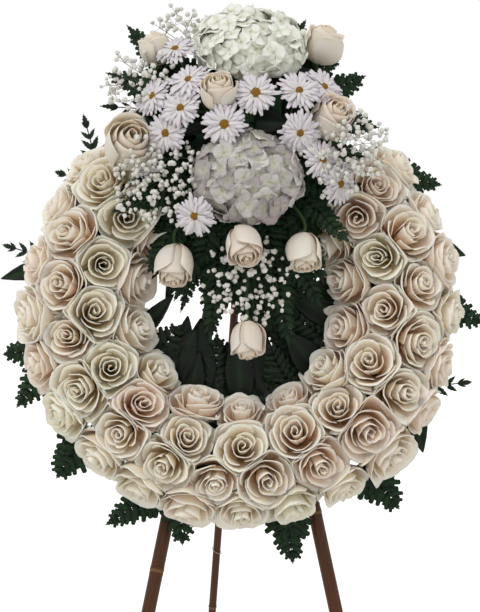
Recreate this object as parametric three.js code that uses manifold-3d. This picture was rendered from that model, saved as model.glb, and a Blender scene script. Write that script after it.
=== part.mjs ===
// A standing funeral wreath: a floral-foam ring packed with cream roses, a spray of hydrangeas, daisies,
// rosebuds, gypsophila and fern on its top, wired to a tripod easel of three bamboo poles.
// Millimetres, +Z up, and the wreath faces -Y. The wreath's own frame has x to the right, y up the wreath
// and z towards the viewer, with its origin in the middle of the ring's back.
import * as THREE from "three";
import { ConvexGeometry } from "three/addons/geometries/ConvexGeometry.js";
import { mergeVertices } from "three/addons/utils/BufferGeometryUtils.js";
import Module from "manifold-3d";

const wasm = await Module();
wasm.setup();

// Driving dimensions
const LEAN = 12; // degrees that the ring and the two front poles lean back
const REAR_POLE = 1173; // length of the thin rear pole
const CENTRE_HEIGHT = 915; // ring's centre over the floor, on 4 ft canes
const RING_RADIUS = 212; // middle of the foam ring
const FOAM_HALF_WIDTH = 47;
const FOAM_HALF_DEPTH = 34;
const FOAM_CORE_HEIGHT = 25; // centre of the foam's section over the back of the tray
const ROSE_RADIUS = [35, 43]; // smallest and largest open rose
const CLEAR = 0.3; // gap between pieces that touch

// Values that follow from them
const TRAY_FLOOR = 3;
const TRAY_WALL = 2.7;
const TRAY_HEIGHT = 12;
const RING_SIDES = 24;
const CROSSING = 210; // height in the wreath's frame where the front poles cross
const POLE_RADIUS = 9.5;
const REAR_RADIUS = 6;
const POLE_SLOPE = 0.205; // sideways run of a front pole for each millimetre down the wreath
const POLE_OVER = 53; // pole above the crossing
const POLE_SPARE = 60; // cane drawn past the floor, then cut off level with it
const LEFT_DEPTH = -13.2;
const RIGHT_DEPTH = LEFT_DEPTH - 2 * POLE_RADIUS - 0.6; // the right pole passes behind the left one
const RIGHT_RISE = 19.6 / 422; // it comes forward to the tray by the ring's foot
const WELD = 1e-3;

const UP = new THREE.Vector3(0, 1, 0);
const FRONT = new THREE.Vector3(0, 0, 1);
const degrees = THREE.MathUtils.degToRad;
const point = (x, y, z) => new THREE.Vector3(x, y, z);

// A repeatable number from 0 to 1 for each whole number.
function wobble(seed) {
  const wave = Math.sin(seed * 12.9898) * 43758.5453;
  return wave - Math.floor(wave);
}

// A closed geometry, moved by a matrix, as a solid with its faces out.
function solid(geometry, matrix = new THREE.Matrix4()) {
  const bare = new THREE.BufferGeometry();
  bare.setAttribute("position", geometry.getAttribute("position").clone());
  if (geometry.index) bare.setIndex(geometry.index.clone());
  bare.applyMatrix4(matrix);
  const merged = mergeVertices(bare, WELD);
  const corners = merged.index.array;
  const faces = [];
  for (let i = 0; i < corners.length; i += 3) {
    const [a, b, c] = [corners[i], corners[i + 1], corners[i + 2]];
    if (a !== b && b !== c && a !== c) faces.push([a, b, c]);
  }
  const made = (list) =>
    new wasm.Manifold(
      new wasm.Mesh({
        numProp: 3,
        vertProperties: Float32Array.from(merged.attributes.position.array),
        triVerts: new Uint32Array(list.flat()),
      }),
    );
  const body = made(faces);
  return body.volume() < 0 ? made(faces.map(([a, b, c]) => [a, c, b])) : body;
}

// The place of a piece that is modelled along +y: its foot at a point, its length along a direction.
function stand(at, along, spin = 0) {
  const turn = new THREE.Quaternion().setFromUnitVectors(UP, along.clone().normalize());
  turn.multiply(new THREE.Quaternion().setFromAxisAngle(UP, spin));
  return new THREE.Matrix4().compose(at, turn, point(1, 1, 1));
}

// The place of a flat blade: it grows along y, and its upper side looks along z.
function lay(at, along, face) {
  const y = along.clone().normalize();
  const x = y.clone().cross(face).normalize();
  const z = x.clone().cross(y);
  return new THREE.Matrix4().makeBasis(x, y, z).setPosition(at);
}

const union = (bodies) => wasm.Manifold.union(bodies);

// A convex cover a little larger than a bloom, which others are cut back by.
function envelope(body, grow = 1.02) {
  const { vertProperties } = body.getMesh();
  const spots = [];
  for (let i = 0; i < vertProperties.length; i += 3) spots.push(point(...vertProperties.slice(i, i + 3)));
  const middle = new THREE.Box3().setFromPoints(spots).getCenter(point(0, 0, 0));
  for (const spot of spots) spot.sub(middle).multiplyScalar(grow).add(middle);
  return solid(new ConvexGeometry(spots));
}

function apart(a, b) {
  const [p, q] = [a.boundingBox(), b.boundingBox()];
  return [0, 1, 2].some((i) => p.max[i] < q.min[i] || q.max[i] < p.min[i]);
}

// Cuts a body back from everything in a list, and keeps its largest piece.
function clearOf(body, taken, detail = 0.2) {
  let left = body;
  for (const other of taken) if (!apart(left, other)) left = left.subtract(other);
  const scraps = left.simplify(detail).decompose();
  return scraps.reduce((most, one) => (one.volume() > most.volume() ? one : most));
}

// A stem or twig: a section of few sides drawn along a curve.
function tube(points, radius, sides = 3, steps = 2) {
  const curve = new THREE.CatmullRomCurve3(points);
  const section = new THREE.Shape();
  for (let i = 0; i < sides; i++) {
    const turn = (2 * Math.PI * i) / sides;
    section[i ? "lineTo" : "moveTo"](radius * Math.cos(turn), radius * Math.sin(turn));
  }
  section.closePath();
  return new THREE.ExtrudeGeometry(section, { steps, extrudePath: curve, bevelEnabled: false });
}

// Materials
const finish = (color, roughness, metalness = 0) =>
  new THREE.MeshStandardMaterial({ color, roughness, metalness });
const bamboo = finish("#3d2716", 0.5);
const wire = finish("#b9b4aa", 0.4, 0.8);
const trayPlastic = finish("#1f3322", 0.6);
const foam = finish("#2f5a35", 0.95);
const rosePetal = finish("#e9dccb", 0.7);
const hydrangeaPetal = finish("#dcd8d2", 0.75);
const daisyPetal = finish("#e6e1e4", 0.7);
const gypsophilaWhite = finish("#e8e6e2", 0.8);
const fernGreen = finish("#1c3420", 0.5);
const leafGreen = finish("#16291a", 0.45);

const wreath = new THREE.Group();

function place(group, name, body, material) {
  const { vertProperties, triVerts } = body.getMesh();
  const geometry = new THREE.BufferGeometry();
  geometry.setAttribute("position", new THREE.BufferAttribute(Float32Array.from(vertProperties), 3));
  geometry.setIndex(new THREE.BufferAttribute(Uint32Array.from(triVerts), 1));
  geometry.computeVertexNormals();
  const mesh = new THREE.Mesh(geometry, material);
  mesh.name = name;
  group.add(mesh);
}

// Easel: three bamboo canes lashed where they cross. A cane has a raised ring at each of its nodes.
function caneBody(length, radius, nodes, sides, margin = 0) {
  const profile = [new THREE.Vector2(0, margin), new THREE.Vector2(radius + margin, margin)];
  if (!margin)
    for (const down of nodes) {
      profile.push(new THREE.Vector2(radius, -down + 5));
      profile.push(new THREE.Vector2(radius + 0.8, -down));
      profile.push(new THREE.Vector2(radius, -down - 3));
    }
  profile.push(new THREE.Vector2(radius + margin, -length - POLE_SPARE));
  profile.push(new THREE.Vector2(0, -length - POLE_SPARE));
  return new THREE.LatheGeometry(profile, sides);
}
const lean = degrees(LEAN);

// The floor in the wreath's frame, as a block that cuts each foot level.
const floorNormal = point(0, Math.cos(lean), Math.sin(lean));
const floorBlock = solid(
  new THREE.BoxGeometry(1600, 300, 1600),
  stand(floorNormal.clone().multiplyScalar(-CENTRE_HEIGHT - 150), floorNormal),
);
const reachOf = ({ at, along }) =>
  (-CENTRE_HEIGHT - floorNormal.dot(at)) / floorNormal.dot(along);
const POLES = [
  {
    name: "leg_front_left",
    at: point(0, CROSSING, LEFT_DEPTH),
    along: point(-POLE_SLOPE, -1, 0).normalize(),
    over: POLE_OVER,
    radius: POLE_RADIUS,
    nodes: [180, 395, 640, 905],
    sides: 8,
  },
  {
    name: "leg_front_right",
    at: point(0, CROSSING, RIGHT_DEPTH),
    along: point(POLE_SLOPE, -1, RIGHT_RISE).normalize(),
    over: POLE_OVER,
    radius: POLE_RADIUS,
    nodes: [150, 348, 561, 830],
    sides: 8,
  },
  {
    name: "leg_rear",
    at: point(8, CROSSING + 2, -48.3),
    along: point(-0.0737, -1, -0.577).normalize(),
    over: 0,
    radius: REAR_RADIUS,
    nodes: [165, 372, 575, 760, 960],
    sides: 6,
  },
];
const poleRoom = [];
for (const { name, at, along, over, radius, nodes, sides } of POLES) {
  const length = name === "leg_rear" ? REAR_POLE : reachOf({ at, along }) + over;
  const top = at.clone().addScaledVector(along, -over);
  const turn = stand(top, along.clone().negate());
  const pole = solid(caneBody(length, radius, nodes, sides), turn);
  poleRoom.push(solid(caneBody(length, radius, [], sides, CLEAR), turn));
  place(wreath, name, pole.subtract(floorBlock).simplify(0.02), bamboo);
}

// The lashing: one band of wire turns round all three poles at the crossing.
const LASHING = { top: 213, foot: 197, wide: 15.5, front: -1.2, back: -66 };
const lashingShape = new THREE.Shape();
const lashingHalf = (LASHING.front - LASHING.back) / 2 - LASHING.wide;
lashingShape.absarc(0, lashingHalf, LASHING.wide, 0, Math.PI);
lashingShape.absarc(0, -lashingHalf, LASHING.wide, Math.PI, 2 * Math.PI);
lashingShape.closePath();
const lashingGeometry = new THREE.ExtrudeGeometry(lashingShape, {
  depth: LASHING.top - LASHING.foot,
  bevelEnabled: false,
  curveSegments: 6,
});
const lashingTurn = new THREE.Matrix4()
  .makeTranslation(2, LASHING.foot, (LASHING.front + LASHING.back) / 2)
  .multiply(new THREE.Matrix4().makeRotationX(-Math.PI / 2));
const lashing = poleRoom.reduce((body, pole) => body.subtract(pole), solid(lashingGeometry, lashingTurn));
place(wreath, "head_lashing", lashing, wire);

// A loop of thin wire left twisted round the rear pole.
const REAR_WIRE_DOWN = 653; // along the rear pole
const rear = POLES[2];
const rearWireTurn = stand(
  rear.at.clone().addScaledVector(rear.along, REAR_WIRE_DOWN),
  rear.along.clone().negate().add(point(0.55, 0, 0)),
);
const rearWire = solid(
  new THREE.TorusGeometry(REAR_RADIUS + 1.25, 0.7, 4, 12).rotateX(Math.PI / 2).scale(1.18, 1, 1.02),
  rearWireTurn,
);
place(wreath, "rear_leg_wire", rearWire.subtract(poleRoom[2]), wire);

// Ring: a moulded tray with the foam in it.
const trayInner = RING_RADIUS - FOAM_HALF_WIDTH - CLEAR;
const trayOuter = RING_RADIUS + FOAM_HALF_WIDTH + CLEAR;
const trayProfile = [
  [trayInner - TRAY_WALL, 0],
  [trayOuter + TRAY_WALL, 0],
  [trayOuter + TRAY_WALL, TRAY_HEIGHT],
  [trayOuter, TRAY_HEIGHT],
  [trayOuter, TRAY_FLOOR],
  [trayInner, TRAY_FLOOR],
  [trayInner, TRAY_HEIGHT],
  [trayInner - TRAY_WALL, TRAY_HEIGHT],
  [trayInner - TRAY_WALL, 0],
];
// A lathe turns about y, so the ring is laid over to face the viewer.
const ringTurn = new THREE.Matrix4().makeRotationX(Math.PI / 2);
const turned = (profile, sides = RING_SIDES) =>
  solid(
    new THREE.LatheGeometry(
      profile.map(([r, h]) => new THREE.Vector2(r, h)),
      sides,
    ),
    ringTurn,
  );

// The foam's domed section, grown by a margin where other pieces are cut back from it.
function foamProfile(margin = 0) {
  const [wide, deep] = [FOAM_HALF_WIDTH + margin, FOAM_HALF_DEPTH + margin];
  const dome = [...Array(5).keys()].map((i) => {
    const turn = (Math.PI * i) / 4;
    return [RING_RADIUS + wide * Math.cos(turn), FOAM_CORE_HEIGHT + deep * Math.sin(turn)];
  });
  const base = TRAY_FLOOR + CLEAR - margin;
  return [[RING_RADIUS + wide, base], ...dome, [RING_RADIUS - wide, base], [RING_RADIUS + wide, base]];
}
const foamKeepOut = turned(foamProfile(CLEAR));
const [trayFrom, trayTo] = [trayInner - TRAY_WALL - CLEAR, trayOuter + TRAY_WALL + CLEAR];
const trayKeepOut = turned([
  [trayFrom, -CLEAR],
  [trayTo, -CLEAR],
  [trayTo, TRAY_HEIGHT + CLEAR],
  [trayFrom, TRAY_HEIGHT + CLEAR],
  [trayFrom, -CLEAR],
]);
let tray = turned(trayProfile);
let foamRing = turned(foamProfile());

// Tie wires: loops round the poles and through the tray's floor, in a groove under the foam.
const poleSpot = (pole, y) => {
  const { at, along } = POLES[pole];
  return at.clone().addScaledVector(along, (y - at.y) / along.y);
};
const TIE_WIRE = 1.1;
const FOOT_TIE = -205;
const HEAD_TIE = 185;
const ties = [];
function tie(name, middle, along, wide, deep) {
  const loop = (wireRadius) =>
    solid(
      new THREE.TorusGeometry(1, wireRadius / wide, 4, 10).rotateX(Math.PI / 2).scale(wide, wide, deep),
      stand(middle, along),
    );
  ties.push([name, loop(TIE_WIRE)]);
  const channel = loop(TIE_WIRE + CLEAR);
  tray = tray.subtract(channel);
  foamRing = foamRing.subtract(channel);
}
for (const [name, pole] of [
  ["tie_wire_left", 0],
  ["tie_wire_right", 1],
]) {
  const spot = poleSpot(pole, FOOT_TIE);
  tie(name, point(spot.x, spot.y, -9.6), POLES[pole].along.clone().setZ(0).negate(), 13.6, 16.2);
}
tie("tie_wire_top", point(0, HEAD_TIE, -24), UP, 21, 28.4);
place(wreath, "base_ring", tray.simplify(0.02), trayPlastic);
place(wreath, "foam_ring", foamRing.simplify(0.02), foam);
for (const [name, body] of ties) place(wreath, name, body, wire);

// Roses. A bloom is turned from rings of petals, four to a ring, which rise between dips. Each row:
// radius and height as shares of the bloom's radius, then how far the petals swing out, how far they
// rise, and which way round they sit.
const PETALS = 4;
const PRESS = 1; // room on each side of the plane where two bunches press together
const ROSE_DETAIL = 1; // smallest feature kept where blooms meet
const OPEN_ROSE = [
  [0, 0.46, 0, 0, 0],
  [0.36, 0.12, 0, 0, 0],
  [0.64, 0.34, 0.1, 0.08, 1],
  [1, 0.04, 0.1, 0.1, 0],
];
const BUD_ROSE = [
  [0, 1.2, 0, 0, 0],
  [0.4, 0.84, 0.04, 0, 0],
  [0.8, 1.0, 0.1, 0.1, 1],
  [1, 0, 0.05, 0.05, 0],
  [0.5, -1.1, 0.04, 0, 0],
];
function roseBody(rings, radius, stem, seed) {
  const profile = rings.map(([r, h]) => new THREE.Vector2(r * radius, h * radius));
  profile.push(new THREE.Vector2(0, -stem));
  const lathe = new THREE.LatheGeometry(profile, 2 * PETALS);
  const spots = lathe.getAttribute("position");
  for (let i = 0; i < spots.count; i++) {
    const ring = i % profile.length;
    if (ring === 0 || ring >= rings.length) continue;
    const step = Math.floor(i / profile.length) % (2 * PETALS);
    const [, , swing, rise, half] = rings[ring];
    const wave = (step + half) % 2 ? -1 : 1;
    const uneven = 0.05 * (wobble(seed + 17 * ring + step) - 0.5);
    const stretch = 1 + swing * wave + uneven;
    spots.setXYZ(
      i,
      spots.getX(i) * stretch,
      spots.getY(i) + rise * wave * radius,
      spots.getZ(i) * stretch,
    );
  }
  return lathe;
}

// The ring's roses stand in four rows round the foam, on short stems, and leave the top to the spray.
const ROSE_ROWS = [
  { turn: -56, count: 11 },
  { turn: -14, count: 13 },
  { turn: 27, count: 16 },
  { turn: 66, count: 19 },
];
const ROSE_DRAW = 1; // first of the blooms' random draws
const ROSES_FROM = 42; // degrees clockwise from the top
const ROSES_TO = 318;
const ROSE_BUNCHES = 8;
const ROSE_DEPTH = 0.88; // depth of a bloom under its rim, as a share of its radius
const ROSE_SEAT = 0.4; // how far a stem's end runs past the dome's true curve, as the foam has flat facets
function ringRoses() {
  const roses = [];
  ROSE_ROWS.forEach(({ turn, count }, row) => {
    for (let i = 0; i < count; i++) {
      const seed = ROSE_DRAW + 100 * row + i;
      const share = (i + 0.5 + 0.16 * (wobble(seed) - 0.5)) / count;
      const round = degrees(ROSES_FROM + (ROSES_TO - ROSES_FROM) * share);
      const tip = degrees(turn + 8 * (wobble(seed + 0.3) - 0.5));
      const radius = ROSE_RADIUS[0] + (ROSE_RADIUS[1] - ROSE_RADIUS[0]) * wobble(seed + 0.6);
      const out = point(Math.sin(round), Math.cos(round), 0);
      const axis = out.clone().multiplyScalar(Math.sin(tip)).addScaledVector(FRONT, Math.cos(tip));
      const across = Math.sin(tip) / FOAM_HALF_WIDTH;
      const up = Math.cos(tip) / FOAM_HALF_DEPTH;
      const reach = 1 / Math.hypot(across, up) - ROSE_SEAT + ROSE_DEPTH * radius;
      const at = out.clone().multiplyScalar(RING_RADIUS).addScaledVector(FRONT, FOAM_CORE_HEIGHT);
      at.addScaledVector(axis, reach);
      roses.push({ at, axis, radius, seed, bunch: Math.floor(share * ROSE_BUNCHES) });
    }
  });
  return roses;
}
const roses = ringRoses();
for (const rose of roses) {
  const geometry = roseBody(OPEN_ROSE, rose.radius, ROSE_DEPTH * rose.radius, rose.seed);
  rose.body = solid(geometry, stand(rose.at, rose.axis, 2 * Math.PI * wobble(rose.seed + 0.9)));
}
// Where two bunches press together, both are cut flat between the blooms.
for (const rose of roses)
  for (const other of roses) {
    const distance = rose.at.distanceTo(other.at);
    if (other.bunch === rose.bunch || distance > 1.2 * (rose.radius + other.radius)) continue;
    const away = rose.at.clone().sub(other.at).normalize();
    const middle = other.at.clone().addScaledVector(
      away,
      (distance * other.radius) / (rose.radius + other.radius),
    );
    rose.body = rose.body.trimByPlane(away.toArray(), away.dot(middle) + PRESS);
  }
const taken = [foamKeepOut, trayKeepOut];
for (let bunch = 0; bunch < ROSE_BUNCHES; bunch++) {
  const blooms = roses.filter((rose) => rose.bunch === bunch);
  const body = union(blooms.map((rose) => rose.body)).simplify(ROSE_DETAIL).subtract(foamKeepOut);
  place(wreath, `ring_roses_${String(bunch + 1).padStart(2, "0")}`, body, rosePetal);
}
for (const rose of roses) taken.push(envelope(rose.body));

// Spray foam: a block in front of the ring's top, which holds every stem of the spray.
const BLOCK = { x: 2, y: 215, z: 82, wide: 104, tall: 150, deep: 50 };
const blockAt = point(BLOCK.x, BLOCK.y, BLOCK.z);
const blockBody = (margin) =>
  solid(
    new THREE.BoxGeometry(BLOCK.wide + margin, BLOCK.tall + margin, BLOCK.deep + margin),
    new THREE.Matrix4().setPosition(blockAt),
  );
place(wreath, "spray_foam", blockBody(0).subtract(foamKeepOut), foam);
taken.push(blockBody(2 * CLEAR));

// A stem runs from a bloom's foot into the nearest face of the block, where it is cut off flush.
function stemTo(foot, along, radius = 1.8) {
  const half = [BLOCK.wide / 2 - 12, BLOCK.tall / 2 - 12, BLOCK.deep / 2 - 8];
  const root = foot.clone().sub(blockAt);
  root.x = THREE.MathUtils.clamp(root.x, -half[0], half[0]);
  root.y = THREE.MathUtils.clamp(root.y, -half[1], half[1]);
  root.z = THREE.MathUtils.clamp(root.z, -half[2], half[2]);
  root.add(blockAt);
  const bend = foot.clone().addScaledVector(along, -0.35 * foot.distanceTo(root));
  return tube([root, bend, foot], radius);
}

// Spray blooms, each by the place of its middle, the way that it faces and its size.
const SPRAY_ROSES = [
  { name: "rose_top_left", at: [-117, 346, 90], face: [-0.15, 0.95, 0.25], radius: 20 },
  { name: "rose_top_right", at: [112, 352, 90], face: [0.35, 0.85, 0.4], radius: 24 },
  { name: "rose_centre_left", at: [-32, 266, 178], face: [-0.05, 0.62, 0.78], radius: 22 },
  { name: "rose_right", at: [118, 238, 142], face: [0.4, 0.42, 0.82], radius: 26 },
  { name: "rose_left", at: [-152, 205, 128], face: [0.25, 0.3, 0.92], radius: 31 },
  { name: "rose_hanging_left", at: [-90, 44, 124], face: [-0.08, -0.92, 0.38], radius: 26 },
  { name: "rose_hanging_middle", at: [2, 66, 158], face: [0.12, -0.8, 0.58], radius: 25 },
  { name: "rose_hanging_right", at: [82, 60, 134], face: [0.06, -0.93, 0.36], radius: 24 },
  { name: "rose_hanging_low", at: [6, -56, 122], face: [0, -0.98, 0.2], radius: 23 },
];
const HYDRANGEAS = [
  { name: "hydrangea_upper", at: [11, 344, 112], face: [0.04, 0.8, 0.6], wide: 76, deep: 50, flat: 1 },
  { name: "hydrangea_lower", at: [7, 158, 148], face: [0, -0.1, 0.99], wide: 74, deep: 46, flat: 0.82 },
];
const DAISY_SPRAYS = [
  {
    name: "daisies_upper_left",
    heads: [
      [-89, 336, 118, -0.3, 0.62, 0.72],
      [-70, 284, 160, -0.35, 0.45, 0.82],
      [-117, 268, 138, -0.6, 0.3, 0.74],
      [-80, 246, 166, -0.4, 0.1, 0.9],
    ],
  },
  {
    name: "daisies_lower_left",
    heads: [
      [-100, 216, 152, -0.45, -0.12, 0.88],
      [-128, 186, 128, -0.6, -0.2, 0.77],
      [-62, 104, 168, -0.3, -0.42, 0.86],
    ],
  },
  {
    name: "daisies_centre",
    heads: [
      [17, 262, 184, 0.05, 0.14, 0.99],
      [-24, 222, 182, -0.1, -0.12, 0.98],
    ],
  },
  {
    name: "daisies_right",
    heads: [
      [74, 268, 168, 0.2, 0.3, 0.93],
      [108, 280, 138, 0.5, 0.4, 0.77],
      [74, 214, 166, 0.3, -0.3, 0.9],
      [104, 180, 150, 0.5, 0.02, 0.86],
      [128, 152, 134, 0.6, -0.3, 0.74],
    ],
  },
];

// Hydrangea heads: a low core with four-petalled florets spread over it by the golden angle.
const HYDRANGEA_FLORETS = 15;
const FLORET_RADIUS = 25;
function floretBody(radius, seed) {
  const rings = [
    [0, 0.12, 0],
    [1, 0.3, 0.24],
    [0, -0.75, 0],
  ];
  const lathe = new THREE.LatheGeometry(
    rings.map(([r, h]) => new THREE.Vector2(r * radius, h * radius)),
    8,
  );
  const spots = lathe.getAttribute("position");
  for (let i = 0; i < spots.count; i++) {
    const step = Math.floor(i / rings.length) % 8;
    const stretch = 1 + rings[i % rings.length][2] * (step % 2 ? -1 : 1);
    const uneven = i % rings.length === 1 ? 0.12 * radius * (wobble(seed + step) - 0.5) : 0;
    spots.setXYZ(i, spots.getX(i) * stretch, spots.getY(i) + uneven, spots.getZ(i) * stretch);
  }
  return lathe;
}
function hydrangeaBody({ at, face, wide, deep, flat }, seed) {
  const middle = point(...at);
  const axis = point(...face).normalize();
  const turn = new THREE.Matrix4().makeRotationFromQuaternion(
    new THREE.Quaternion().setFromUnitVectors(FRONT, axis),
  );
  const core = new THREE.SphereGeometry(1, 8, 5).scale(wide - 12, (wide - 12) * flat, deep - 12);
  const bodies = [solid(core, turn.clone().setPosition(middle))];
  for (let i = 0; i < HYDRANGEA_FLORETS; i++) {
    const rise = 1 - (1.35 * (i + 0.5)) / HYDRANGEA_FLORETS; // from the crown to behind the widest part
    const round = i * 2.39996 + seed;
    const level = Math.sqrt(1 - rise * rise);
    const out = point(level * Math.cos(round), level * Math.sin(round), rise);
    const spot = out.clone().multiply(point(wide - 5, (wide - 5) * flat, deep - 5));
    const normal = out.clone().divide(point(wide, wide * flat, deep)).normalize();
    const floret = floretBody(FLORET_RADIUS * (0.9 + 0.2 * wobble(seed + i)), seed + 31 * i);
    const local = stand(spot, normal, 6 * wobble(seed + 2 * i));
    bodies.push(solid(floret, turn.clone().setPosition(middle).multiply(local)));
  }
  return union(bodies);
}

// Daisies: a domed eye and nine petals with gaps between their tips.
const RAYS = 9;
function daisyBody(radius, seed) {
  const rings = [
    [0, 0.14],
    [1, 0.1],
    [0, -0.25],
  ];
  const lathe = new THREE.LatheGeometry(
    rings.map(([r, h]) => new THREE.Vector2(r * radius, h * radius)),
    2 * RAYS,
  );
  const spots = lathe.getAttribute("position");
  for (let i = 0; i < spots.count; i++) {
    if (i % rings.length !== 1) continue;
    const step = Math.floor(i / rings.length) % (2 * RAYS);
    const reach = step % 2 ? 0.6 : 0.94 + 0.12 * wobble(seed + step);
    const lift = step % 2 ? -0.04 * radius : 0.1 * radius * (wobble(seed + step + 40) - 0.5);
    spots.setXYZ(i, spots.getX(i) * reach, spots.getY(i) + lift, spots.getZ(i) * reach);
  }
  return lathe;
}

// Gypsophila bunches, each by the root of its stem, the middle of its cloud and the cloud's radius.
const GYPSOPHILA = [
  { name: "gypsophila_left", root: [-53, 200, 88], middle: [-112, 146, 152], spread: 44, count: 7 },
  { name: "gypsophila_right", root: [56, 200, 88], middle: [136, 200, 152], spread: 44, count: 7 },
  { name: "gypsophila_lower", root: [0, 138, 96], middle: [10, 16, 124], spread: 44, count: 8 },
  { name: "gypsophila_upper_left", root: [-53, 280, 90], middle: [-146, 290, 122], spread: 34, count: 5 },
  { name: "gypsophila_top", root: [-30, 292, 84], middle: [-82, 378, 84], spread: 26, count: 5 },
];
const STEM_ROOM = 1.1; // radial room that other blooms leave round a stem
for (const bunch of GYPSOPHILA) {
  const [foot, centre] = [point(...bunch.root), point(...bunch.middle)];
  bunch.fork = foot.clone().lerp(centre, 0.6);
  const line = [foot.lerp(blockAt, 0.2), bunch.fork];
  bunch.stalk = solid(tube(line, 1.6, 3, 1));
  bunch.room = solid(tube(line, 1.6 + STEM_ROOM, 3, 1));
}

// Every stem first, so that the blooms keep a plain hole for a stem that passes through them.
const DAISY_RADIUS = 30;
const blooms = [];
for (const { name, at, face, radius } of SPRAY_ROSES) {
  const axis = point(...face).normalize();
  const foot = point(...at).addScaledVector(axis, -1.15 * radius);
  const seed = 700 + blooms.length;
  const head = solid(roseBody(BUD_ROSE, radius, 1.25 * radius, seed), stand(point(...at), axis, seed));
  const stem = (margin) => solid(stemTo(foot, axis, 2.4 + margin));
  blooms.push({ name, material: rosePetal, heads: [head], stems: [stem] });
}
HYDRANGEAS.forEach((head, i) => {
  const axis = point(...head.face).normalize();
  const foot = point(...head.at).addScaledVector(axis, -0.6 * head.deep);
  blooms.push({
    name: head.name,
    material: hydrangeaPetal,
    heads: [hydrangeaBody(head, 1 + 3 * i)],
    stems: [(margin) => solid(stemTo(foot, axis, 3 + margin))],
  });
});
DAISY_SPRAYS.forEach(({ name, heads }, spray) => {
  const middle = heads.reduce((sum, h) => sum.add(point(h[0], h[1], h[2])), point(0, 0, 0));
  middle.divideScalar(heads.length);
  const fork = middle.clone().lerp(blockAt, 0.45);
  const made = { name, material: daisyPetal, heads: [], stems: [] };
  heads.forEach(([x, y, z, fx, fy, fz], i) => {
    const at = point(x, y, z);
    const axis = point(fx, fy, fz).normalize();
    const seed = 40 * spray + 7 * i + 3;
    made.heads.push(solid(daisyBody(DAISY_RADIUS, seed), stand(at, axis, seed)));
    const foot = at.clone().addScaledVector(axis, -4);
    const bend = foot.clone().lerp(fork, 0.5).addScaledVector(axis, -8);
    made.stems.push((margin) => solid(tube([fork, bend, foot], 1.8 + margin)));
  });
  const branch = [blockAt.clone().lerp(fork, 0.3), fork.clone().lerp(middle, 0.05)];
  made.stems.push((margin) => solid(tube(branch, 2.4 + margin, 3, 1)));
  blooms.push(made);
});

for (const bloom of blooms) {
  bloom.stem = union(bloom.stems.map((stem) => stem(0)));
  bloom.room = bloom.stems.map((stem) => stem(STEM_ROOM));
}
for (const bloom of blooms) {
  const others = blooms.filter((other) => other !== bloom).flatMap((other) => other.room);
  others.push(...GYPSOPHILA.map((bunch) => bunch.room));
  const without = (start) =>
    others.reduce((body, room) => (apart(body, room) ? body : body.subtract(room)), start);
  const heads = without(union(bloom.heads));
  const body = clearOf(heads.add(bloom.stem), taken, 0.5);
  place(wreath, bloom.name, body, bloom.material);
  for (const head of bloom.heads) taken.push(without(envelope(head, 1.03)));
  taken.push(...bloom.room);
}

// Foliage. A fern frond is one arched blade, cut to its rib into pointed leaflets, and a frill is a short
// one; a leafy sprig has rounder leaflets; a broad leaf has only its own outline.
const BLADE = 0.9;
const FROND_KINDS = {
  fern: { pairs: 4, tooth: 0.62, point: 0.95, rib: 1.3 },
  sprig: { pairs: 3, tooth: 0.8, point: 0.55, rib: 1.2 },
  frill: { pairs: 3, tooth: 0.62, point: 0.95, rib: 1.3 },
  leaf: { pairs: 0, tooth: 0, point: 0, rib: 1.5 },
};
// A broad leaf's edge: half width as a share of the leaf's width, and the share of its length.
const LEAF_SIDE = [
  [0, 0.18],
  [0.42, 0.38],
  [0.5, 0.58],
  [0.3, 0.82],
];
function bladeBody(kind, length, width, arch) {
  const { pairs, tooth, point: sharp, rib } = FROND_KINDS[kind];
  const side = [[rib, 0]];
  if (kind === "leaf")
    for (const [share, along] of LEAF_SIDE) side.push([Math.max(rib, share * width), along * length]);
  const start = 0.22 * length;
  for (let i = 0; i < pairs; i++) {
    const pitch = (length - start) / (pairs + 0.6);
    const low = start + i * pitch;
    const reach = (width / 2) * (1 - 0.72 * (i / pairs));
    side.push([rib, low], [reach * tooth, low + 0.1 * pitch], [reach, low + sharp * pitch]);
  }
  if (pairs) side.push([rib, 0.93 * length]);
  const shape = new THREE.Shape();
  shape.moveTo(...side[0]);
  for (const spot of side.slice(1)) shape.lineTo(...spot);
  shape.lineTo(0, length);
  for (const [x, y] of side.reverse()) shape.lineTo(-x, y);
  shape.closePath();
  const blade = new THREE.ExtrudeGeometry(shape, { depth: BLADE, bevelEnabled: false });
  const spots = blade.getAttribute("position");
  for (let i = 0; i < spots.count; i++) {
    const share = spots.getY(i) / length;
    spots.setZ(i, spots.getZ(i) - BLADE / 2 - arch * share * share);
  }
  return blade;
}

// A bunch of fronds from one root: each by its tip, width, kind and arch.
function frondBunch(root, face, fronds) {
  const bodies = fronds.map(({ tip, wide, kind = "fern", arch = 6 }) => {
    const along = point(...tip).sub(root);
    return solid(bladeBody(kind, along.length(), wide, arch), lay(root, along, point(...face)));
  });
  if (bodies.length > 1)
    bodies.push(solid(new THREE.OctahedronGeometry(3.2), new THREE.Matrix4().setPosition(root)));
  return union(bodies);
}
const rim = (round, radius, z) =>
  point(radius * Math.sin(degrees(round)), radius * Math.cos(degrees(round)), z);

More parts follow.
